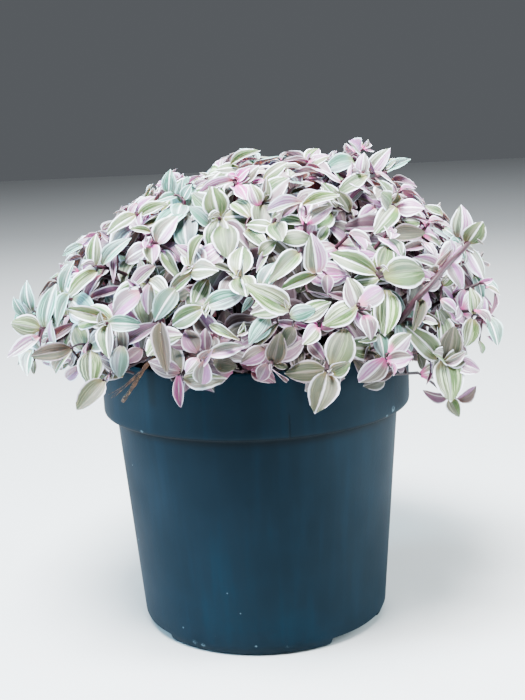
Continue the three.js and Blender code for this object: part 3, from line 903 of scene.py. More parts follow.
def placeLeaves(stems):
    foliage = Foliage(stems)
    clearance, reach = leafForm["clearance"], leafForm["reach"]
    for order, form in enumerate(rosette):
        for stem in stems:
            for k, shoot in enumerate(stem["shoots"]):
                firstClear(foliage, shoot, lambda change: rosetteLeaf(
                    stem["index"], stem["number"], k, shoot, order, form, change), clearance, reach)
    for stem in stems:
        firstClear(foliage, stem["shoots"][0], lambda change: stemLeaf(stem, change), clearance, reach)
    return foliage


stems = placeStems(allTips(), [dryStemBase])
foliage = placeLeaves(stems)
print("frame layout:", len(stems), "stems,", len(foliage.leaves), "leaves")


# Finer leaves: smaller than the frame's plain ones, and the high rosettes lean to the light
finer = {
    "length": 0.84, "width": 0.86, "leanAbove": 158, "leans": (26, 17, 9), "clearance": 0.6,
    "boxMargin": 0.0012, "potHalf": 56, "potBelow": 108,  # what the pot hides of the far side
}
seenTints = {tip[:3]: tip[3] for row in seenStems for tip in row}
# the mound's edge as the camera sees it, on the upright plane through the pot's axis
moundEdge = np.array([
    (39, 189.5), (44.5, 189.5), (49, 185), (56, 185), (59, 181), (62.5, 181), (62.5, 176), (57, 172),
    (65.5, 171), (65.5, 165.5), (68.5, 163), (84.5, 161), (88, 158.5), (88.5, 155.5), (92, 154), (93, 144),
    (95, 140), (94.5, 134), (99, 131.5), (99, 125), (96, 123), (95.5, 118.5), (99.5, 113), (99, 105),
    (88.5, 100), (89.5, 93), (87.5, 90.5), (89, 85), (84, 82), (83, 75.5), (77, 75.5), (73.5, 81.5),
    (64, 84.5), (66.5, 92), (63, 98), (59, 94), (55.5, 94), (54.5, 90), (51, 87.5), (40.5, 88), (39.5, 100),
    (38, 94.5), (33.5, 91.5), (33, 83), (29.5, 80.5), (22.5, 79), (18, 80), (17, 91), (-2, 93), (-2, 98.5),
    (-6, 101), (-15, 91.5), (-20.5, 88.5), (-28, 90), (-29, 84), (-32.5, 84.5), (-33.5, 94.5), (-40, 96),
    (-45, 102.5), (-49.5, 102), (-52.5, 97.5), (-56.5, 96.5), (-58.5, 90), (-62.5, 85.5), (-72.5, 84.5),
    (-71.5, 96.5), (-77.5, 96.5), (-77.5, 100.5), (-83.5, 100.5), (-83.5, 103.5), (-86, 100),
    (-94.5, 101.5), (-96.5, 107), (-98.5, 107.5), (-98, 113), (-94.5, 116), (-96, 120.5), (-94.5, 133),
    (-91.5, 139), (-87.5, 139), (-84.5, 135), (-79.5, 138.5), (-76.5, 138.5), (-72, 146.5), (-73.5, 147),
    (-73, 151.5), (-62, 156.5), (-58.5, 156.5), (-47, 168), (-38, 171), (-31, 180), (-26.5, 180),
    (-24, 177), (-14, 177), (-12.5, 181), (-8.5, 181.5), (1, 187.5), (5.5, 187.5), (5.5, 181.5), (10, 181),
    (13, 183), (20.5, 183), (26.5, 185.5), (35.5, 184),
], float)


def insideEdge(points):
    share = -eye[1] / (points[:, 1] - eye[1])
    x, z = eye[0] + (points[:, 0] - eye[0]) * share, eye[2] + (points[:, 2] - eye[2]) * share
    a, b = moundEdge, np.roll(moundEdge, -1, axis=0)
    crossed = (a[:, 1] > z[:, None]) != (b[:, 1] > z[:, None])
    slope = (b[:, 0] - a[:, 0]) / np.where(a[:, 1] == b[:, 1], 1, b[:, 1] - a[:, 1])
    right = x[:, None] < a[:, 0] + (z[:, None] - a[:, 1]) * slope
    behindPot = (points[:, 1] > 0) & (np.abs(x) < finer["potHalf"]) & (z < finer["potBelow"])
    return bool(np.all(behindPot | ((crossed & right).sum(axis=1) % 2 == 1)))


def insideFrame(leaves):
    points = np.concatenate([leaf["samples"] for leaf in leaves])
    if not insideEdge(points):
        return False
    low, high = np.array(cadBox[0]) + finer["boxMargin"], np.array(cadBox[1]) - finer["boxMargin"]
    points = inMetres(points)
    return bool(np.all(points > low) and np.all(points < high))


def leaned(leaf, pivot, angle):
    tilt = np.array(Matrix.Rotation(angle, 3, "X"))
    moved = dict(leaf, root=pivot + tilt @ (leaf["root"] - pivot))
    for key in ("forward", "face", "side"):
        moved[key] = tilt @ leaf[key]
    return sampled(moved)


def refineLeaves():
    rosettes = {}
    for leaf in foliage.leaves:
        leaf["length"] *= finer["length"]
        leaf["width"] *= finer["width"]
        sampled(leaf)
        rosettes.setdefault(tuple(leaf["shoot"]["tip"]), []).append(leaf)
    for tip, leaves in rosettes.items():
        if tip in seenTints and tip[2] > finer["leanAbove"]:
            for angle in finer["leans"]:
                moved = [leaned(leaf, np.array(tip), angle * degree) for leaf in leaves]
                if insideFrame(moved):
                    for leaf, change in zip(leaves, moved):
                        leaf.update(change)
                    break


refineLeaves()

# Leaves that the photo shows: base, tip, width, tint with its shade, and the rank of a young one
seenLeaves = [
    (-54, -52, 149.5, -53.5, -53.5, 160.5, 5.7, "green"), (-53, -54, 148, -63.5, -59, 141.5, 5.4, "green"),
    (-51, -54, 147, -59, -53, 138, 3.7, "lilac"), (-51, -51.5, 150, -42.5, -52.5, 160, 4.9, "mint"),
    (-46.5, -46, 152, -48, -56, 146, 4.4, "lilac"), (-57.5, -51, 157, -63.5, -55.5, 154.5, 2.9, "mint"),
    (-58.5, -49.5, 152.5, -62, -54, 152.5, 2.3, "mauve"),
    (-65.5, -49.5, 140, -62, -50.5, 151.5, 4.3, "mint"),
    (-79.5, -34, 131.5, -82, -36.5, 142.5, 5.7, "mint"), (-76.5, -39, 126.5, -85.5, -43, 130, 8.4, "green"),
    (-74.5, -38, 126.5, -71, -37.5, 142, 7.8, "mint"), (-61, -66.5, 142, -65, -78, 136.5, 3.8, "mint"),
    (-49.5, -71, 133.5, -61, -64, 133, 4.7, "striped"), (-49, -68.5, 134, -61, -72.5, 139, 5.3, "ribbed"),
    (-48.5, -71, 133, -37, -74, 132.5, 6.3, "mint"), (-56.5, -46, 137, -45, -55.5, 141.5, 3.2, "mauve"),
    (-77, -39.5, 123.5, -87.5, -45.5, 118, 5.0, "lilac"), (-78, -48.5, 120.5, -80, -60, 115.5, 6.2, "mint"),
    (-62, -66.5, 124, -74, -72, 122.5, 6.4, "dark dusk"), (-78.5, -44, 116, -79, -47.5, 112, 2.7, "olive"),
    (-63, -55.5, 121.5, -73, -49.5, 112, 5.3, "green"), (-60, -53, 115.5, -68, -48.5, 108.5, 4.3, "lilac"),
    (-55, -68, 123.5, -55, -73, 112.5, 9.5, "striped"), (-51, -73.5, 114, -59, -80, 106, 8.3, "dim green"),
    (-48.5, -75.5, 116.5, -50, -74, 113.5, 1.9, "lilac", 5),
    (-57, -66, 123, -62, -56.5, 131.5, 7.3, "dim plain"),
    (-43.5, -76.5, 126, -46.5, -78.5, 116, 6.4, "dim mint"),
    (-72.5, -37, 122, -64.5, -44.5, 129.5, 3.6, "mauve"),
    (-56, -72.5, 123.5, -55, -77, 127.5, 1.9, "pink", 6),
    (-31.5, -56.5, 157, -25, -58.5, 166.5, 8.5, "halves"), (-34, -57, 156, -45, -52, 151, 6.5, "blush"),
    (-33, -59, 156.5, -33, -65, 152, 6.4, "blush"), (-39.5, -40, 165.5, -49.5, -44.5, 160.5, 5.8, "green"),
    (-38.5, -40, 165, -29, -42, 170.5, 4.7, "green"), (-39.5, -37.5, 166, -33.5, -39.5, 172, 4.1, "lilac"),
    (-20, -74, 149.5, -16, -61.5, 162, 7.6, "ribbed"), (-18, -74, 149, -28.5, -70.5, 142.5, 4.1, "green"),
    (-31.5, -73, 151.5, -39.5, -79, 145.5, 4.2, "dull halves"),
    (-29.5, -54, 153.5, -24.5, -65, 147, 5.7, "plain"), (-14.5, -71, 146, -19.5, -78.5, 139, 6.0, "green"),
    (-33.5, -71.5, 145.5, -35.5, -72.5, 135.5, 5.2, "halves"),
    (-25, -72, 143.5, -32, -78.5, 135.5, 8.0, "dull mint"),
    (-15.5, -83, 138.5, -28, -78, 133, 6.9, "ribbed"), (-15.5, -83, 139, -3, -79, 143, 6.4, "mint"),
    (-23.5, -68, 138.5, -29, -74, 135, 2.5, "olive"),
    (-30, -80.5, 133.5, -29.5, -94.5, 122.5, 5.9, "dark plain"),
    (-43, -66.5, 125.5, -32.5, -75, 132, 4.8, "mauve"),
    (-37.5, -72.5, 124, -43, -75, 120, 5.0, "dark mauve"),
    (-18.5, -82, 124, -23, -79, 131, 6.7, "dull mauve"),
    (-16, -79.5, 123.5, -16.5, -79.5, 131, 4.6, "mauve"),
    (-15.5, -84.5, 123.5, -3.5, -86, 126.5, 4.6, "halves"),
    (-16, -85, 122, -18.5, -81.5, 112, 7.0, "lilac"), (-18.5, -82.5, 122, -22, -85.5, 118, 4.9, "lilac"),
    (-13.5, -82.5, 120.5, -6.5, -86, 120, 6.2, "dull dusk"),
    (-24, -73.5, 113.5, -11, -82.5, 115.5, 6.4, "green"),
    (-25, -76, 116.5, -35.5, -76.5, 119.5, 6.3, "dull lilac"),
    (-25.5, -77.5, 115.5, -26.5, -72, 101.5, 2.7, "pink", 6),
    (-21.5, -74, 125, -27, -77.5, 125.5, 3.8, "dull mauve"),
    (-4.5, -88.5, 128.5, -15.5, -82, 133, 5.6, "striped"),
    (-3.5, -75.5, 147, -2, -84.5, 143.5, 8.7, "ribbed"), (11.5, -86, 137.5, -0.5, -95, 146, 8.0, "striped"),
    (0, -74.5, 139.5, -3.5, -80, 137, 3.3, "mint"), (12, -80, 134, 20, -81.5, 137, 5.4, "mint"),
    (14.5, -79, 133, 25.5, -80, 137.5, 6.5, "green"), (18.5, -71.5, 140.5, 26, -75, 139, 2.5, "lilac"),
    (21, -79.5, 130, 15.5, -85, 126.5, 6.2, "blush"), (21, -76, 130, 14, -80, 131.5, 3.0, "pink"),
    (22, -74.5, 129, 28, -78, 130, 3.6, "pink"), (34, -77.5, 136, 23, -82, 132, 7.9, "striped"),
    (25, -86, 118, 31.5, -80.5, 129.5, 10.1, "dim plain"), (24.5, -86, 116, 30, -89, 119.5, 5.9, "green"),
    (23, -86, 116, 20, -93.5, 105, 11.3, "dim ribbed"), (22.5, -83.5, 116.5, 9.5, -85, 116.5, 7.3, "olive"),
    (6, -86.5, 120, 7.5, -93.5, 130, 6.9, "dull dusk"), (4, -89, 120.5, 0, -85.5, 113.5, 4.8, "dim mauve"),
    (4.5, -89, 119.5, 11.5, -84.5, 112.5, 3.7, "mauve"), (5.5, -86.5, 120, 11, -85, 118.5, 2.9, "olive"),
    (3.5, -83, 124, -4, -87, 121, 5.9, "mauve"), (5, -80, 134, -1, -85.5, 127, 6.2, "mint"),
    (13, -80.5, 130.5, 9, -86, 125.5, 5.4, "dusk"), (14.5, -76, 129.5, 7.5, -79, 132.5, 2.7, "lilac"),
    (8, -78.5, 131.5, 0.5, -84.5, 126.5, 3.0, "dull olive"), (18, -79, 125, 22.5, -83, 120, 4.9, "mauve"),
    (21.5, -74.5, 146.5, 10, -79, 142.5, 4.6, "green"), (25, -72, 146, 25, -76, 140.5, 4.1, "mauve"),
    (31, -71.5, 137.5, 26, -77, 140, 3.3, "mauve"), (41.5, -68, 145, 27, -69, 153, 6.9, "ribbed"),
    (42.5, -68.5, 143.5, 33.5, -70, 143, 5.5, "green"), (43, -66, 145.5, 48, -57, 154, 6.4, "plain"),
    (44, -68.5, 144, 61.5, -58, 144.5, 11.6, "plain"), (45.5, -63.5, 138.5, 45, -74, 126, 9.5, "striped"),
    (35, -77.5, 136.5, 45.5, -70, 141, 7.0, "lilac"), (37, -76, 132.5, 38, -80, 125.5, 6.5, "blush"),
    (40.5, -71.5, 124, 35, -77.5, 124.5, 2.5, "green"), (42, -70, 125, 43, -74.5, 118, 5.5, "mint"),
    (44.5, -77.5, 119.5, 53, -70.5, 125.5, 7.1, "blush"),
    (43.5, -77.5, 117.5, 51.5, -79.5, 118.5, 6.6, "pinkHalf"),
    (43, -77.5, 118, 35, -72, 107, 8.2, "pinkHalf"), (56.5, -63, 135, 53.5, -74, 127.5, 4.3, "dark olive"),
    (66, -40, 142.5, 58.5, -47, 148, 4.4, "halves"), (65.5, -45.5, 143, 69.5, -54, 148.5, 3.8, "blush"),
    (62.5, -34.5, 149, 54, -42, 149, 3.3, "mauve"), (62.5, -37, 150.5, 65, -41, 147.5, 3.5, "lilac"),
    (49.5, -46, 155, 60.5, -50, 156, 6.6, "dark dusk"), (50, -36, 156, 34.5, -48, 159, 6.9, "mauve"),
    (42.5, -3, 180, 40.5, -13, 187.5, 9.2, "lilac"), (41.5, 1, 178.5, 29.5, -1, 177, 8.0, "mint"),
    (41.5, -23.5, 175, 42.5, -25.5, 182.5, 5.1, "lilac"), (49, 18, 172.5, 55, 14.5, 182.5, 6.6, "halves"),
    (54, 17.5, 174.5, 58.5, 14, 178, 3.9, "green"), (54.5, 17.5, 172, 63.5, 13.5, 178.5, 3.6, "mint"),
    (43.5, -25.5, 174.5, 32.5, -27.5, 169.5, 5.7, "green"),
    (43.5, -21.5, 170.5, 33.5, -24.5, 163, 4.2, "lilac"),
    (56.5, 19.5, 168.5, 66.5, 14, 168.5, 4.3, "mauve"), (50, -38, 164, 48, -45.5, 170, 7.4, "green"),
    (53, -32.5, 163, 62.5, -36, 163.5, 7.4, "lilac"), (52, -39, 164, 44.5, -49, 158, 7.4, "green"),
    (45.5, -29, 163, 39, -37, 160.5, 4.5, "lilac"), (52.5, -30.5, 159, 64.5, -35, 160, 3.9, "lilac"),
    (23.5, -4, 178, 30.5, -7, 182, 5.3, "blush"), (18.5, -58.5, 168, 30, -61.5, 171.5, 4.2, "striped"),
    (82, -11, 146.5, 86.5, -16.5, 154.5, 9.1, "ribbed"), (79.5, -8, 148.5, 82, -11, 160, 9.4, "halves"),
    (81.5, -11, 145, 87.5, -16.5, 134, 8.5, "halves"), (70, -41.5, 144.5, 74, -46, 135.5, 5.9, "lilac"),
    (85.5, -6.5, 133.5, 88, -12, 125, 5.4, "mint"), (89, -8, 131.5, 93.5, -13, 128.5, 3.5, "mint"),
    (84.5, -35, 133, 88.5, -40, 132, 3.0, "blush"), (79, -40, 124.5, 78, -41, 134, 6.8, "striped"),
    (81.5, -38.5, 124, 83, -41, 130, 5.1, "lilac"), (75, 1.5, 156.5, 68, 0, 160.5, 4.2, "green"),
    (74, -6, 152, 79.5, -10.5, 147.5, 4.7, "mint"), (68, -40, 135.5, 72, -43, 140, 4.7, "green"),
    (66, -49, 132, 71.5, -50.5, 128, 4.4, "lilac"), (66, -59, 112.5, 68.5, -61.5, 124, 9.2, "dusk"),
    (63, -58.5, 113, 54.5, -66, 125.5, 7.2, "ribbed"), (65.5, -59, 112.5, 67, -66, 100, 11.5, "striped"),
    (70, -57, 111.5, 77, -62, 109, 7.2, "lilac"), (71.5, -27.5, 91.5, 62, -29, 93, 5.6, "mauve"),
    (74.5, -28.5, 90.5, 81.5, -32, 94.5, 6.2, "mauve"), (72, -28, 90.5, 74.5, -33, 85.5, 5.9, "green"),
    (61, -53.5, 111, 60, -59.5, 104.5, 2.6, "mauve"), (56, -60.5, 115.5, 59, -58, 109, 3.7, "dim olive"),
    (78.5, -40.5, 123, 76, -44.5, 114, 8.0, "striped"), (84, -39.5, 123.5, 87.5, -46, 114.5, 6.9, "mint"),
    (84, -24.5, 111.5, 84.5, -29, 108, 4.6, "green"), (84, -39.5, 116, 85.5, -43, 115.5, 3.0, "lilac"),
    (63.5, -55.5, 122, 58.5, -62, 129.5, 4.9, "olive"), (68, -48.5, 123, 65.5, -54, 129, 5.0, "olive"),
    (74, -38, 121.5, 67.5, -45.5, 129.5, 5.1, "lilac"), (74, -37.5, 120.5, 66, -44.5, 123, 3.0, "mauve"),
    (-27.5, -40.5, 172.5, -26.5, -43.5, 180.5, 5.5, "mint"),
    (-24.5, -40.5, 171.5, -31, -44.5, 171.5, 3.5, "mint"),
    (-22.5, -43, 170.5, -19.5, -45, 175.5, 4.3, "mint"), (-23, -43, 169, -25, -49, 165.5, 6.4, "mint"),
    (-23.5, -40.5, 169.5, -22, -43.5, 177, 3.8, "mint"), (-34.5, -37, 166, -29.5, -40, 170.5, 4.4, "green"),
    (-20, -40, 176, -15, -43, 178.5, 2.0, "dim pink", 6),
    (-19, -38, 173.5, -14.5, -41.5, 177, 3.2, "lilac"), (-4.5, -33, 175, -18, -36, 173, 3.8, "lilac"),
    (-3.5, -33, 175.5, 0.5, -35.5, 180, 4.4, "pink"), (-1.5, -33, 175, 3.5, -35, 181, 5.3, "blush"),
    (2, -30.5, 174, 6, -34, 175.5, 3.0, "pink"), (-4.5, -31, 173.5, -10.5, -34, 172.5, 3.3, "blush"),
    (-3.5, -43, 174.5, 0, -51, 171.5, 5.3, "pink"), (-5.5, -30.5, 180.5, 4, -33.5, 187, 3.5, "green"),
    (-3.5, -28, 180.5, 4, -32, 184, 3.0, "mauve"), (-2.5, -30.5, 179.5, -10.5, -33.5, 180.5, 4.4, "green"),
    (6, -30.5, 175, 14, -34, 181, 5.3, "green"), (-10, -57, 165, -12, -60.5, 175, 9.0, "ribbed"),
    (-13, -55, 162, -19.5, -58, 169, 5.9, "mint"), (0.5, -52, 164, -5, -44, 171, 7.4, "striped"),
    (3.5, -58.5, 168.5, 1.5, -60.5, 175.5, 5.6, "blush"), (-8.5, -57, 163, -7.5, -68.5, 154, 9.3, "plain"),
    (8, -59.5, 161, -1, -59, 162.5, 5.0, "ribbed"), (-1, -55, 160, 5, -64.5, 156, 5.1, "green"),
    (3, -64.5, 152.5, 9, -64.5, 157, 5.3, "plain"), (3, -72, 143, 8, -70, 151, 6.0, "mint"),
    (-4, -75, 147.5, -2.5, -66.5, 157.5, 8.1, "ribbed"), (-3.5, -80, 148, -3, -87, 155, 2.4, "green", 5),
    (-5.5, -73, 148, -12.5, -69, 151.5, 3.5, "dull green"), (21, -81, 148, 20.5, -90.5, 160, 8.2, "halves"),
    (16, -64, 152.5, 7.5, -75.5, 146.5, 6.9, "green"), (10.5, -59.5, 157, 21, -62, 158, 6.2, "plain"),
    (19, -56.5, 161.5, 10.5, -55, 163.5, 3.7, "green"), (19.5, -59, 162, 28, -61.5, 167.5, 5.3, "blush"),
    (18.5, -58.5, 169, 5, -52.5, 166.5, 7.0, "halves"), (24, -4, 179, 14, -6, 181, 3.4, "lilac"),
    (28.5, -8.5, 174, 16, -11, 176.5, 4.6, "blush"), (22.5, -2.5, 168.5, 15.5, -5.5, 167.5, 3.4, "green"),
    (35, -48, 164, 31, -51, 172, 5.3, "olive"), (23, -58.5, 155, 27.5, -55.5, 160.5, 4.1, "green"),
    (-33.5, -56.5, 161, -39.5, -60, 163, 3.1, "green"),
    (-39, -37.5, 169.5, -42.5, -40.5, 165, 3.2, "lilac"),
    (-82, -35, 130.5, -85.5, -37.5, 137.5, 4.3, "mint"),
    (-25.5, -57.5, 150.5, -30.5, -56.5, 155, 4.1, "lilac"),
    (5.5, -61.5, 152.5, 1.5, -70, 149, 4.0, "halves"), (17, -53.5, 167.5, 11, -53, 164, 3.4, "mauve"),
    (38.5, -19, 167, 45.5, -23.5, 165.5, 4.0, "mauve"),
]
# what stays in view from the camera: the dry stem, and one thick shoot that arches over the right side
archedShoot = [
    (44, -55, 121), (50.5, -64, 129), (55.3, -67, 135.8), (60.5, -65.5, 140.5), (67, -59, 145.7),
    (73, -48, 148), (82, -14, 146.8),
]
dryStretch = [(-37.9, -52, 113.7), (-40.5, -53.5, 110.5), (-43, -55, 107.5), (-46, -55.5, 104)]
inView = {
    "leafSpots": (0.3, 0.55, 0.8), "leafSide": 0.3, "leafShare": 0.2, "least": 0.8, "leafDepth": -0.8,
    "stemWidth": 2.6, "stemDepth": 1.0, "aside": 1.5, "behind": 0.7, "before": 2.5,
}


def stemBehind(place):
    # a stem point that is reached out of the camera's sight
    offset = foliage.stemPoints - place
    sight = unit(place - eye)
    deep = offset @ sight
    aside = np.linalg.norm(offset - np.outer(deep, sight), axis=1)
    cost = np.where(deep > 0, inView["behind"], inView["before"]) * deep
    nearest = int(np.argmin(np.hypot(inView["aside"] * aside, cost)))
    return foliage.stemPoints[nearest], int(foliage.stemOwners[nearest])


def seenLeaf(row):
    base, tip, width = np.array(row[:3], float), np.array(row[3:6], float), row[6]
    forward, middle, length = unit(tip - base), (base + tip) / 2, math.dist(base, tip)
    face = unit(0.45 * moundNormal(middle) + 0.55 * unit(eye - middle))
    face = unit(face - forward * (forward @ face))
    # one that looks narrow is folded along its middle
    folded = math.acos(held(width / (0.5 * length), 0.5))
    leaf = {"root": base, "forward": forward, "face": face, "side": np.cross(face, forward), "length": length}
    rank = row[8] if len(row) > 8 else 0
    return sampled(leaf | {"width": width, "folded": folded, "tint": row[7], "rank": rank})


def addSeenLeaves():
    for row in seenLeaves:
        leaf = seenLeaf(row)
        base, width = leaf["root"], leaf["width"]
        root, owner = stemBehind(base)
        leaf["owner"] = owner
        leaf["shoot"] = {"rings": [root, base], "tip": base, "fill": True, "petiole": True}
        foliage.add(leaf)
        foliage.addStem(ringPoints([root, base], 6), owner)
        stems[owner]["shoots"].append(leaf["shoot"])
        spots = [base + leaf["forward"] * leaf["length"] * t for t in inView["leafSpots"]]
        spots += [spots[1] + leaf["side"] * width * inView["leafSide"] * s for s in (-1, 1)]
        foliage.keepOpen(spots, max(inView["leafShare"] * width, inView["least"]), inView["leafDepth"])


frameLeaves = foliage.leaves
foliage = Foliage(stems)
addSeenLeaves()
foliage.keepOpen(dryStretch + archedShoot[1:6], inView["stemWidth"], inView["stemDepth"])
for leaf in frameLeaves:
    if foliage.isClear(leaf, finer["clearance"], leafForm["reach"]) and insideFrame([leaf]):
        foliage.add(leaf)
print(len(foliage.leaves) - len(seenLeaves), "frame leaves stay beside", len(seenLeaves), "seen ones")

# Fill of the mound: an outer leaf at each tip, then short shoots on shells under the surface
fill = {
    "size": 0.76, "outerClearance": 0.4, "outerReach": 6, "clearance": 0.6, "surfaceReach": 3,
    "shells": ((0.95, 190), (0.87, 160), (0.77, 130), (0.65, 90)), "shellTwist": 1.1, "edge": 103 * degree,
    "spacing": 7.5, "shootReach": 34, "shootGap": 1.4, "tipMargin": 3, "shootMargin": 1.2,
    "shortest": 4, "droop": 3, "row": 400, "shellRows": 200,
}


def nearestStem(place):
    gaps = np.linalg.norm(foliage.stemPoints - place, axis=1)
    usable = (foliage.stemPoints[:, 2] < place[2] + fill["droop"]) & (gaps > fill["shortest"])
    nearest = int(np.argmin(np.where(usable, gaps, np.inf)))
    return foliage.stemPoints[nearest], int(foliage.stemOwners[nearest]), gaps[nearest]


def fillLeaf(owner, number, k, shoot, order, form):
    back, size, tilt = form
    small = (back * fill["size"], size * fill["size"], tilt)
    return lambda change: rosetteLeaf(owner, number, k, shoot, order, small, change)


def addOuterLeaves():
    forms = list(enumerate(rosette + [None, outerLeaf]))  # rank 3 is the leaf on the stem
    clearance, reach = fill["outerClearance"], fill["outerReach"]
    for stem in stems:
        for k, shoot in enumerate(stem["shoots"]):
            if "fill" not in shoot:
                kept = sum(leaf["shoot"] is shoot for leaf in foliage.leaves)
                for order, form in forms[kept:]:
                    if form:
                        build = fillLeaf(stem["index"], stem["number"], k, shoot, order, form)
                        firstClear(foliage, shoot, build, clearance, reach, insideFrame)


def addFillShoots():
    taken = [shoot["tip"] for stem in stems for shoot in stem["shoots"]]
    for shell, (share, count) in enumerate(fill["shells"]):
        for i in range(count):
            tip = moundPoint(spiralDirection(i, count, fill["edge"], fill["shellTwist"] * shell), share)
            if not farFrom(taken, tip, fill["spacing"]) or not clearOfPot(tip[None], fill["tipMargin"]):
                continue
            root, owner, gap = nearestStem(tip)
            line = ringPoints([root, tip], 8)
            if gap > fill["shootReach"] or not clearOfPot(line, fill["shootMargin"]):
                continue
            if not foliage.shootIsClear(line[2:], owner, fill["shootGap"]):
                continue
            number = fill["row"] + shell * fill["shellRows"] + i
            shoot = {"rings": [root, tip], "tip": tip, "fill": True, "number": number}
            reach = fill["surfaceReach"] if shell == 0 else 0
            builds = [fillLeaf(owner, number, 0, shoot, *pair) for pair in enumerate(rosette + [outerLeaf])]
            grown = [firstClear(foliage, shoot, build, fill["clearance"], reach, insideFrame)
                     for build in builds]
            if any(grown):
                taken.append(tip)
                foliage.addStem(line, owner)
                stems[owner]["shoots"].append(shoot)


addOuterLeaves()
addFillShoots()
print("with the fill:", sum(len(stem["shoots"]) for stem in stems), "shoots,", len(foliage.leaves), "leaves")


# Leaf colours, as seen in soft daylight
leafTone = {
    "green": tone(72, 99, 40), "deepGreen": tone(40, 62, 21), "mint": tone(50, 98, 85),
    "cream": tone(158, 176, 128), "mintCream": tone(140, 190, 185), "rib": tone(236, 236, 240),
    "rim": tone(246, 243, 255), "pink": tone(152, 90, 144), "deepPink": tone(156, 56, 128),
    "heart": tone(190, 46, 132), "olive": tone(112, 116, 42), "blush": tone(146, 98, 98),
    "shadeRose": tone(47, 29, 35), "shadeOlive": tone(34, 36, 23), "shadeOver": tone(108, 94, 94),
    "under": tone(114, 76, 102), "underDeep": tone(66, 40, 58), "shine": 0.32,
}
tints = {  # how pink, how mint, how much painted shade, how hot the heart is, and the seeds that give its pattern
    "green": (0.06, 0.12, 0.0, 0.1), "mint": (0.05, 0.85, 0.0, 0.05), "blush": (0.34, 0.0, 0.0, 0.95),
    "pink": (0.95, 0.0, 0.0, 1.0), "lilac": (0.55, 0.25, 0.0, 0.55),
    "mauve": (0.5, 0.0, 0.62, 0.4, 0.0, 0.068), "plain": (0.0, 0.1, 0.35, 0.05, 0.0, 0.014),
    "ribbed": (0.04, 0.1, 0.0, 0.1, 0.055, 0.072), "striped": (0.02, 0.05, 0.0, 0.15, 0.243, 0.27),
    "halves": (0.42, 0.2, 0.0, 0.3, 0.12, 0.136), "pinkHalf": (0.62, 0.0, 0.0, 1.0, 0.12, 0.136),
    "dusk": (0.1, 0.0, 0.93, 0.2, 0.12, 0.196), "olive": (0.0, 0.0, 0.88, 0.05, 0.157, 0.196),
}
shades = {"dim": 0.35, "dull": 0.6, "dark": 0.85}  # a leaf that others shade
tintShares = {"green": 0.46, "blush": 0.64, "lilac": 0.78, "mint": 0.88, "mauve": 0.96, "pink": 1.0}


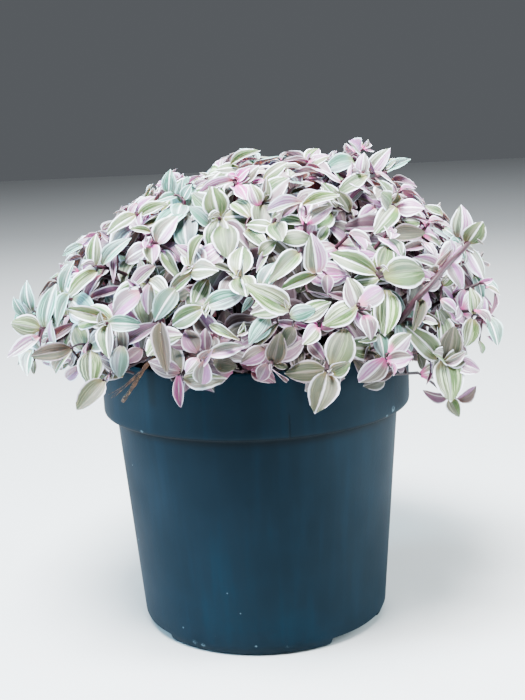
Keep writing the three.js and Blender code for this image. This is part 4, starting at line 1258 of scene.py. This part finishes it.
def makeLeafBlade():
    material, tree, shader = newMaterial("leafBlade")
    u, along = splitAxes(tree, addNode(tree, "ShaderNodeUVMap", uv_map="leafUV").outputs[0])[:2]
    underside = calc(tree, "GREATER_THAN", u, 1.5)
    across = calc(tree, "SUBTRACT", times(tree, u, 2.0), plus(tree, times(tree, underside, 4.0), 1.0))
    out = calc(tree, "ABSOLUTE", across)
    # the seed of a young leaf is raised by one
    given = addNode(tree, "ShaderNodeAttribute", attribute_name="leafSeed").outputs["Fac"]
    young = calc(tree, "GREATER_THAN", given, 1.0)
    seed = calc(tree, "FRACT", given)
    shift = times(tree, seed, 97.0)
    bladeTint = addNode(tree, "ShaderNodeAttribute", attribute_name="blade")
    parts = addNode(tree, "ShaderNodeSeparateColor")
    tree.links.new(bladeTint.outputs["Color"], parts.inputs[0])
    pink, mint, paintedShade = parts.outputs
    heart = bladeTint.outputs["Alpha"]

    def streaks(spread, stretch, detail):
        vector = joinAxes(tree, plus(tree, times(tree, across, spread), shift),
                          times(tree, along, stretch), times(tree, seed, 31.0))
        return cloud(tree, vector, 1.0, detail)

    def ownShare(factor):
        return calc(tree, "FRACT", times(tree, seed, factor))

    broad, fine, hair = streaks(2.1, 0.7, 1.0), streaks(6.5, 0.8, 1.0), streaks(17.0, 1.6, 2.0)
    # green, with cream lines of uneven width that run from base to tip
    green = mixColour(tree, fade(tree, broad, 0.3, 0.7), leafTone["deepGreen"], leafTone["green"])
    green = mixColour(tree, mint, green, leafTone["mint"])
    cream = mixColour(tree, mint, leafTone["cream"], leafTone["mintCream"])
    lines = calc(tree, "MAXIMUM", fade(tree, fine, 0.55, 0.63, 0.0, 0.95),
                 fade(tree, hair, 0.53, 0.66, 0.0, 0.5))
    lines = times(tree, lines, fade(tree, ownShare(3.7), 0.25, 0.95, 0.3, 0.95))
    colour = mixColour(tree, lines, green, cream)
    # one half or a sector of many leaves turns pink
    lean = times(tree, calc(tree, "SUBTRACT", ownShare(7.3), 0.5), 1.5)
    sector = times(tree, calc(tree, "SIGN", across), lean)
    part = times(tree, sector, plus(tree, times(tree, pink, 0.9), 0.12))
    amount = plus(tree, times(tree, pink, 1.15), part)
    amount = calc(tree, "ADD", amount, times(tree, calc(tree, "SUBTRACT", broad, 0.5), 0.5), True)
    rosy = mixColour(tree, fade(tree, pink, 0.55, 1.0), leafTone["pink"], leafTone["deepPink"])
    rosy = mixColour(tree, times(tree, lines, 0.7), rosy, leafTone["rim"])
    colour = mixColour(tree, amount, colour, rosy)
    # pale line along the middle, pale rim
    rib = times(tree, fade(tree, out, 0.02, 0.14, 0.95, 0.0), fade(tree, ownShare(13.7), 0.2, 0.75))
    colour = mixColour(tree, rib, colour, leafTone["rib"])
    edge = calc(tree, "MAXIMUM", fade(tree, out, 0.8, 0.95), fade(tree, along, 0.95, 1.0))
    rim = mixColour(tree, mint, leafTone["rim"], leafTone["mintCream"])
    colour = mixColour(tree, times(tree, edge, 0.92), colour, rim)
    # warm base: hot pink in the rosy tips, olive in the green ones
    base = mixColour(tree, heart, leafTone["olive"], leafTone["heart"])
    warmth = times(tree, fadeOut(tree, along, 0.02, 0.3), plus(tree, times(tree, heart, 0.5), 0.45))
    colour = mixColour(tree, warmth, colour, base)
    # painted shade: leaves in the shade of others are painted darker, towards dusty rose or olive
    shadedTone = fade(tree, ownShare(5.1), 0.35, 0.75)
    shadedTone = mixColour(tree, shadedTone, leafTone["shadeRose"], leafTone["shadeOlive"])
    shadedTone = mixColour(tree, times(tree, edge, 0.4), shadedTone, leafTone["under"])
    shadedTone = mixColour(tree, times(tree, lines, 0.15), shadedTone, leafTone["blush"])
    dimmed = mixColour(tree, 1.0, colour, leafTone["shadeOver"], "MULTIPLY")
    colour = mixColour(tree, paintedShade, colour, mixColour(tree, 0.4, shadedTone, dimmed))
    # mauve underside
    under = mixColour(tree, fade(tree, fine, 0.35, 0.65), leafTone["underDeep"], leafTone["under"])
    under = mixColour(tree, times(tree, edge, 0.5), under, leafTone["rim"])
    under = mixColour(tree, plus(tree, times(tree, young, 0.6), 0.2), under, colour)
    tree.links.new(mixColour(tree, underside, colour, under), shader.inputs["Base Color"])
    rough = plus(tree, fade(tree, hair, 0.3, 0.7, 0.36, 0.5), times(tree, paintedShade, 0.3))
    tree.links.new(rough, shader.inputs["Roughness"])
    shader.inputs["Specular IOR Level"].default_value = leafTone["shine"]
    shader.inputs["Subsurface Weight"].default_value = 0.18
    shader.inputs["Subsurface Radius"].default_value = (0.0016, 0.001, 0.0008)
    shader.inputs["Subsurface Scale"].default_value = 1.0
    bump(tree, plus(tree, times(tree, fine, 0.6), times(tree, hair, 0.5)), shader, 0.45, 0.0005)
    return material


stemTone = {
    "low": tone(26, 7, 14), "high": tone(46, 12, 27), "green": tone(38, 22, 22), "pale": tone(74, 36, 54),
    "roughness": 0.48, "shine": 0.25,
}


def makeVineStem():
    material, tree, shader = newMaterial("vineStem")
    blotch, grain = addMottle(tree, 120.0, 900.0)
    upper = fade(tree, splitAxes(tree, onObject(tree))[2], 0.115, 0.17)
    colour = mixColour(tree, upper, stemTone["low"], stemTone["high"])
    colour = mixColour(tree, fade(tree, blotch, 0.4, 0.65, 0.0, 0.35), colour, stemTone["green"])
    colour = mixColour(tree, fade(tree, grain, 0.5, 0.75, 0.0, 0.2), colour, stemTone["pale"])
    tree.links.new(colour, shader.inputs["Base Color"])
    shader.inputs["Roughness"].default_value = stemTone["roughness"]
    shader.inputs["Specular IOR Level"].default_value = stemTone["shine"]
    bump(tree, grain, shader, 0.25, 0.0003)
    return material


# One leaf, modelled once as a grid with its underside welded on at the rim, then bent to each place
blade = {
    "rows": (0, 0.05, 0.15, 0.27, 0.41, 0.56, 0.71, 0.86, 1.0), "row": 2000,
    "baseShare": 0.3, "thickness": 0.3, "wave": 0.028, "sway": 0.09, "twist": 16, "cellMargin": 0.05,
    "boatShare": 0.25, "boatFold": 10, "boatRoll": 32,  # some leaves close up like a boat
    "foldStray": (-5, 6), "rollStray": (-9, 9), "broadest": (0.76, 0.92), "fullness": (0.66, 0.8),
    "arch": (0.75, 1.2), "tipCurl": (-0.5, 0.3), "opening": (1.15, -0.35), "youngOpening": (1.25, -0.45),
}
# fold at the middle and roll of the halves, in degrees: rosette 0 to 2, stem 3, outer 4, young 5 and 6
leafSet = ((18, -38), (20, -34), (26, -24), (16, -36), (14, -40), (48, -14), (66, -6))


def addMaps(mesh):
    mesh.uv_layers.new(name="OFBake")
    mesh.color_attributes.new("blade", "FLOAT_COLOR", "POINT")
    mesh.attributes.new("leafSeed", "FLOAT", "POINT")


def makeLeafModel():
    deselectAll()
    bpy.ops.mesh.primitive_grid_add(x_subdivisions=4, y_subdivisions=8, size=2)
    model = bpy.context.object
    model.name = "leafModel"
    for vertex in model.data.vertices:
        if abs(vertex.co.x) < 0.99 and abs(vertex.co.y) < 0.99:
            vertex.co.z = 1
        if vertex.co.y > 0.99:
            vertex.co.x = 0
    editAll(model)
    bpy.ops.mesh.duplicate()
    bpy.ops.transform.resize(value=(1, 1, -1), center_override=(0, 0, 0))
    bpy.ops.mesh.flip_normals()
    bpy.ops.mesh.select_all(action="SELECT")
    bpy.ops.mesh.remove_doubles(threshold=0.001)
    bpy.ops.object.mode_set(mode="OBJECT")
    model.data.uv_layers[0].name = "leafUV"
    addMaps(model.data)
    return model


def readModel(mesh):
    places = np.zeros(len(mesh.vertices) * 3)
    mesh.vertices.foreach_get("co", places)
    places = places.reshape(-1, 3)
    corners = np.zeros(len(mesh.loops), int)
    mesh.loops.foreach_get("vertex_index", corners)
    below = np.zeros(len(mesh.loops), bool)
    for face in mesh.polygons:
        below[list(face.loop_indices)] = np.mean([places[v][2] for v in face.vertices]) < 0
    across, along = places[:, 0], np.interp(places[:, 1], np.linspace(-1, 1, 9), blade["rows"])
    # the tip's corners keep the middle, and the underside is told by its own stretch of the map
    uv = np.stack([(across[corners] + 1) / 2 + 2.0 * below, along[corners]], axis=1)
    mesh.uv_layers["leafUV"].data.foreach_set("uv", uv.ravel())
    return {"across": across, "along": along, "side": np.sign(places[:, 2]), "below": below}


leafModel = makeLeafModel()
leafGrid = readModel(leafModel.data)


def leafDraw(span, seed, use):
    return between(*span, blade["row"], seed, use)


def bendLeaf(leaf, seed):
    across, along, side = leafGrid["across"], leafGrid["along"], leafGrid["side"]
    length, folded = leaf["length"], leaf.get("folded", 0)
    young, sense, out = leaf["rank"] > 4, np.sign(across), np.abs(across)
    fold, roll = leafSet[leaf["rank"]]
    boat = not young and leafDraw((0, 1), seed, 20) < blade["boatShare"]
    moreFold, moreRoll = (blade["boatFold"], blade["boatRoll"]) if boat else (0, 0)
    fold = (fold + moreFold + leafDraw(blade["foldStray"], seed, 21)) * degree + folded
    roll = (roll + moreRoll + leafDraw(blade["rollStray"], seed, 22)) * degree
    atBase, growth = blade["youngOpening" if young else "opening"]
    opened = atBase + growth * along
    shape = np.sin(math.pi * along ** leafDraw(blade["broadest"], seed, 23))
    shape = shape ** leafDraw(blade["fullness"], seed, 30)
    shape = np.maximum(shape, blade["baseShare"] * np.clip(1 - along / 0.2, 0, 1))
    half = 0.52 * leaf["width"] / math.cos(folded) * shape * out
    angle = fold * opened + roll * out / 2
    local = fold * opened + roll * out
    x, z = sense * half * np.cos(angle), half * np.sin(angle)
    phase = along * 1.5 + leafDraw((0, 1), seed, 24) + 0.37 * sense
    z = z + blade["wave"] * length * np.sin(2 * math.pi * phase) * np.sin(math.pi * along) * out ** 2
    thick = 0.5 * blade["thickness"] * side * np.minimum(1, 0.25 + shape)
    x, z = x - sense * np.sin(local) * thick, z + np.cos(local) * thick
    turn = blade["twist"] * degree * leafDraw((-1, 1), seed, 25) * along
    x, z = x * np.cos(turn) - z * np.sin(turn), x * np.sin(turn) + z * np.cos(turn)
    x = x + length * blade["sway"] * leafDraw((-1, 1), seed, 26) * along ** 2
    z = z + leafArch(leaf, along) * leafDraw(blade["arch"], seed, 27)
    z = z + length * leafDraw(blade["tipCurl"], seed, 28) * np.maximum(0, along - 0.7) ** 2
    points = leaf["root"] + np.outer(length * along, leaf["forward"])
    return points - np.outer(x, leaf["side"]) + np.outer(z, leaf["face"])


def mapCells(count, columns):
    # a cell of the baked map for each part, with its low corner and its size
    rows, margin = math.ceil(count / columns), blade["cellMargin"]
    size = np.array([(1 - 2 * margin) / columns, (1 - 2 * margin) / rows])
    places = [(i % columns, i // columns) for i in range(count)]
    return [(np.array([(x + margin) / columns, (y + margin) / rows]), size) for x, y in places]


def bakeMap(leafUV, below, cells):
    result = np.zeros((len(below), 2))
    for chosen, (low, size) in zip((~below, below), cells):
        flat = leafUV[chosen] - np.outer(below[chosen], (2.0, 0.0))
        result[chosen] = low + flat * size
    return result


def seedOf(leaf, seed):
    span = (tints[leaf["tint"].split()[-1]][4:] if "tint" in leaf else ()) or (0, 0.98)
    return leafDraw(span, seed, 29) + (leaf["rank"] > 4)


def growLeaf(leaf, seed, tint, cells):
    mesh = leafModel.data.copy()
    mesh.vertices.foreach_set("co", inMetres(bendLeaf(leaf, seed)).ravel())
    count = len(mesh.vertices)
    mesh.color_attributes["blade"].data.foreach_set("color", np.tile(tint, count))
    mesh.attributes["leafSeed"].data.foreach_set("value", np.full(count, seedOf(leaf, seed)))
    uv = np.zeros(len(mesh.loops) * 2)
    mesh.uv_layers["leafUV"].data.foreach_get("uv", uv)
    baked = bakeMap(uv.reshape(-1, 2), leafGrid["below"], cells)
    mesh.uv_layers["OFBake"].data.foreach_set("uv", baked.ravel())
    return newObject("leaf", mesh)


def growTube(points, radii, sides, cell):
    # a round stem along its points, closed at both ends
    points, radii = np.asarray(points, float), np.asarray(radii, float)
    count, last = len(points), (len(points) - 1) * sides
    ahead = np.gradient(points, axis=0)
    ahead /= np.linalg.norm(ahead, axis=1)[:, None]
    level = np.array([1.0, 0, 0]) if abs(ahead[0][0]) < 0.8 else np.array([0, 1.0, 0])
    turns = np.arange(sides) * 2 * math.pi / sides
    rings = []
    for point, radius, forward in zip(points, radii, ahead):
        level = unit(level - forward * (level @ forward))
        other = np.cross(forward, level)
        rings.append(point + radius * (np.outer(np.cos(turns), level) + np.outer(np.sin(turns), other)))
    ends = [points[:1] - ahead[:1] * radii[0] * 0.4, points[-1:] + ahead[-1:] * radii[-1] * 0.4]
    # each face with its corners on the unrolled map, round the stem and along it
    faces, flats = [], []
    for i in range(count - 1):
        for j in range(sides):
            low, high, after = i * sides, (i + 1) * sides, (j + 1) % sides
            faces.append((low + j, low + after, high + after, high + j))
            flats += [(j, i), (j + 1, i), (j + 1, i + 1), (j, i + 1)]
    for j in range(sides):
        faces.append((last + sides, (j + 1) % sides, j))
        flats += [(j + 0.5, 0.5), (j + 1, 0), (j, 0)]
    for j in range(sides):
        faces.append((last + sides + 1, last + j, last + (j + 1) % sides))
        flats += [(j + 0.5, count - 1.5), (j, count - 1), (j + 1, count - 1)]
    mesh = bpy.data.meshes.new("tube")
    mesh.from_pydata(inMetres(np.concatenate(rings + ends)).tolist(), [], faces)
    flats = np.array(flats) / (sides, count - 1)
    start, size = cell
    mesh.uv_layers.new(name="leafUV")
    addMaps(mesh)
    mesh.uv_layers["leafUV"].data.foreach_set("uv", flats.ravel())
    mesh.uv_layers["OFBake"].data.foreach_set("uv", (start + flats * size).ravel())
    return newObject("tube", mesh)


def throughPoints(corners, steps):
    # a smooth line through all its corners
    corners = [np.array(corner, float) for corner in corners]
    corners = [2 * corners[0] - corners[1]] + corners + [2 * corners[-1] - corners[-2]]
    points = []
    for a, b, c, d in zip(corners, corners[1:], corners[2:], corners[3:]):
        bend, ease = 2 * a - 5 * b + 4 * c - d, 3 * b - a - 3 * c + d
        for t in (i / steps for i in range(steps)):
            points.append(0.5 * (2 * b + (c - a) * t + bend * t ** 2 + ease * t ** 3))
    return np.array(points + [corners[-2]])


def bowed(start, end, bow, count):
    # points on a line that bows by this much at its middle
    return [start + (end - start) * t + bow * 4 * t * (1 - t) for t in np.linspace(0, 1, count)]


# how a leaf's place in the mound tints it and how much painted shade it gets
shading = {
    "leftMint": (45, 35, 0.4),  # where the left side's tint starts, over how far it grows, and its share
    "seen": (0.04, 1.8), "filled": (0.02, 5),  # the depth where a leaf starts to be shaded, and how fast
    "lowStart": 131, "lowOver": 20, "lowSeen": 0.6, "lowFilled": 0.75,
    "sideStart": 52, "sideOver": 14, "sideShare": 0.65, "mostShaded": 0.95, "mostPaintedShade": 0.97,
    "pinkStray": (-0.12, 0.16), "outerPink": 0.12, "shadeStray": (-0.05, 0.08), "outerShade": 0.12,
}
drawn = {  # radii in millimetres, and how many sides a stem has
    "foot": 1.3, "end": 0.6, "stemSides": 8, "shootSides": 7,
    "archStart": 1.25, "archEnd": 0.9, "archSides": 9, "petiole": 0.45, "fillShoot": 0.6, "sideShoot": 0.85,
    "youngRow": 5000, "smallYoung": 0.65,
}


def depthOf(point):
    return 1 - math.dist(point, (0, 0, mound["centre"])) / moundRadius(moundDirection(point))


def shootTint(shoot, stem, k):
    seen = seenTints.get(tuple(shoot["tip"]))
    if not seen:
        chosen = draw(shoot.get("number", stem["number"]), k, 31)
        seen = next(name for name, share in tintShares.items() if chosen <= share)
    pink, mint, paintedShade, heart = tints[seen][:4]
    start, over, most = shading["leftMint"]
    return pink, mint + most * held((-shoot["tip"][0] - start) / over), paintedShade, heart


def leafTint(leaf, tint, seed):
    pink, mint, paintedShade, heart = tint
    seen, rank = "tint" in leaf, leaf["rank"]
    middle = leaf["root"] + leaf["forward"] * leaf["length"] * 0.6
    # painted shade, more of it deeper in the mound
    start, speed = shading["seen" if seen else "filled"]
    shaded = speed * max(0, depthOf(middle) - start)
    if seen:
        *shade, name = leaf["tint"].split()
        pink, mint, paintedShade, heart = tints[name][:4]
        shaded += shades[shade[0]] if shade else 0
    else:
        pink += leafDraw(shading["pinkStray"], seed, 32) + (shading["outerPink"] if rank > 3 else 0)
        shaded += (shading["outerShade"] if rank == 4 else 0) + leafDraw(shading["shadeStray"], seed, 33)
    # the low leaves in front of the pot get less light, so they get more painted shade
    low = held((shading["lowStart"] - middle[2]) / shading["lowOver"])
    low *= shading["lowSeen" if seen else "lowFilled"]
    low *= 1 - shading["sideShare"] * held((abs(middle[0]) - shading["sideStart"]) / shading["sideOver"])
    paintedShade = 1 - (1 - paintedShade) * (1 - min(shaded, shading["mostShaded"])) * (1 - low)
    return [held(pink), held(mint), held(paintedShade, 0, shading["mostPaintedShade"]), held(heart)]


def shootLine(stem, shoot, k):
    if k == 0:
        foot, bend = shoot["foot"], shoot["bend"]
        points = [foot, (foot + bend[0]) / 2] + [bezier(bend, i / 22) for i in range(23)]
        return points, np.linspace(drawn["foot"], drawn["end"], len(points)), drawn["stemSides"]
    start, tip = shoot["rings"]
    radius = drawn["petiole" if "petiole" in shoot else "fillShoot" if "fill" in shoot else "sideShoot"]
    bow = upward * between(-0.4, 1.2, stem["number"], k, 34)
    bow = bow + unit(np.cross(tip - start, upward)) * between(-0.8, 0.8, stem["number"], k, 35)
    points = bowed(start, tip, bow, 8)
    # a bare end that would hang past the seen outline is cut back
    while "fill" not in shoot and len(points) > 3 and not insideEdge(np.array(points[-1:])):
        points.pop()
    return points, np.linspace(radius, radius * 0.75, len(points)), drawn["shootSides"]


def addYoungLeaves(stem, own):
    # two folded leaves in each heart, or smaller ones where the tip would be bare
    for k, shoot in enumerate(stem["shoots"]):
        number = shoot.get("number", stem["number"])
        for rank, form in enumerate(youngLeaves, 5) if "petiole" not in shoot else ():
            for size in (1, drawn["smallYoung"]):
                leaf = rosetteLeaf(stem["index"], number, k, shoot, rank, form, (0, 0, size))
                bareTip = size < 1 and all(math.dist(item[1]["root"], shoot["tip"]) >= 4 for item in own)
                if insideFrame([leaf]) and (bareTip or not foliage.hides(leaf)):
                    leaf["shoot"] = shoot
                    own.append((drawn["youngRow"] + stem["index"] * 100 + k * 2 + rank, leaf))
                    break


def makeLeafyStem(stem, stemFinish):
    own = [(i, leaf) for i, leaf in enumerate(foliage.leaves) if leaf["owner"] == stem["index"]]
    addYoungLeaves(stem, own)
    # a shoot that lost all its leaves to the finer ones isn't drawn
    leafy = {id(leaf["shoot"]) for seed, leaf in own}
    shoots = [(k, shoot) for k, shoot in enumerate(stem["shoots"]) if k == 0 or id(shoot) in leafy]
    count = 2 * len(own) + len(shoots)
    cells = mapCells(count + 1, math.ceil(math.sqrt(count * 1.4)))
    tubes = [growTube(*shootLine(stem, shoot, k), cell) for (k, shoot), cell in zip(shoots, cells)]
    hues = {id(shoot): shootTint(shoot, stem, k) for k, shoot in shoots}
    leaves = []
    for place, (seed, leaf) in enumerate(own):
        first = len(shoots) + 2 * place
        tint = leafTint(leaf, hues[id(leaf["shoot"])], seed)
        leaves.append(growLeaf(leaf, seed, tint, cells[first:first + 2]))
    if any(math.dist(tip, archedShoot[-1]) < 3 for tip in stem["tips"]):
        line = throughPoints(archedShoot, 6)
        radii = np.linspace(drawn["archStart"], drawn["archEnd"], len(line))
        tubes.append(growTube(line, radii, drawn["archSides"], cells[-1]))
    for tube in tubes:
        tube.data.materials.append(stemFinish)
    piece = joinAll(tubes + leaves)
    piece.name = piece.data.name = "leafyStem%02d" % (stem["index"] + 1)
    smooth(piece, 60)
    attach(piece, "root")
    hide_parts("leafy_stem_%02d" % (stem["index"] + 1))


def makeMound():
    bladeFinish, stemFinish = makeLeafBlade(), makeVineStem()
    leafModel.data.materials.append(bladeFinish)
    for stem in stems:
        makeLeafyStem(stem, stemFinish)
    bpy.data.objects.remove(leafModel)


makeMound()
print("leafy stems are made")


# Dry stem: a dead shoot over the rim, with its joints, peeling skin and pale root hairs
dryStem = {
    "line": [(-29, -31, 87), (-29, -31, 99), (-30, -34, 111), (-33, -42, 116.5), (-38, -52, 114),
             (-42.5, -55, 108), (-47, -55, 102)],
    "radius": 0.8, "sides": 10, "joints": (0.34, 0.52, 0.68, 0.83, 0.97), "jointWidth": 0.012, "row": 310,
    "strips": ((0.66, 0.76, 0.9), (0.8, 0.93, -0.8)),  # where peeling skin starts and ends, and its reach
    "stripRadii": (0.26, 0.25, 0.2, 0.15, 0.07), "thinSides": 5,
    "hairRadii": (0.15, 0.14, 0.13, 0.12, 0.09, 0.06),
    "hairs": 4, "hairStart": (-40.5, -55.5, 111.5), "hairEnd": (-51, -57.5, 105.5),
    # how far a hair's start, its end and its bow may stray
    "stray": ((-1.5, 1.0), (0, 0.8), (-1.2, 1.2), (-1.0, 2), (-0.5, 0.5), (-1.6, 1.2), (-0.4, 0.2)),
    "bark": tone(80, 50, 30), "darkBark": tone(28, 16, 11), "paleBark": tone(146, 112, 76),
}


def makeDriedSkin():
    material, tree, shader = newMaterial("driedStemSkin")
    blotch, grain = addMottle(tree, 260.0, 1600.0)
    colour = mixColour(tree, fade(tree, blotch, 0.35, 0.62), dryStem["darkBark"], dryStem["bark"])
    colour = mixColour(tree, fade(tree, grain, 0.52, 0.7, 0.0, 0.7), colour, dryStem["paleBark"])
    tree.links.new(colour, shader.inputs["Base Color"])
    shader.inputs["Roughness"].default_value = 0.75
    bump(tree, grain, shader, 0.6, 0.0005)
    return material


def peelingStrip(line, low, high, reach):
    steps = [line[int(t * (len(line) - 1))] for t in np.linspace(low, high, 5)]
    lift = np.array([0.35 * reach, -0.6, 0.25 * abs(reach)])
    return [step + lift * (0.6 + t * t * 1.1) for step, t in zip(steps, np.linspace(0, 1, 5))]


def rootHair(i):
    stray = betweenAll(dryStem["stray"], dryStem["row"], i, 1)
    root, tip = np.array(dryStem["hairStart"]) + stray[:3], np.array(dryStem["hairEnd"]) + stray[3:6]
    return bowed(root, tip, upward * stray[6], 6)


def makeDryStem():
    line = throughPoints(dryStem["line"], 9)
    share = np.linspace(0, 1, len(line))
    radii = dryStem["radius"] * (1 - 0.2 * share) * (1 + 0.07 * np.sin(share * 61))
    for joint in dryStem["joints"]:
        radii = radii * (1 + 0.3 * np.exp(-((share - joint) / dryStem["jointWidth"]) ** 2))
    thin = dryStem["thinSides"]
    lines = [(line, radii, dryStem["sides"])]
    lines += [(peelingStrip(line, *strip), dryStem["stripRadii"], thin) for strip in dryStem["strips"]]
    lines += [(rootHair(i), dryStem["hairRadii"], thin) for i in range(dryStem["hairs"])]
    cells = mapCells(len(lines), math.ceil(math.sqrt(len(lines))))
    piece = joinAll([growTube(*form, cell) for form, cell in zip(lines, cells)])
    piece.name = "dryShoot"
    smooth(piece, 60)
    piece.data.materials.append(makeDriedSkin())
    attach(piece, "root")
    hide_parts("dry_stem")


makeDryStem()
print("dry stem is made")
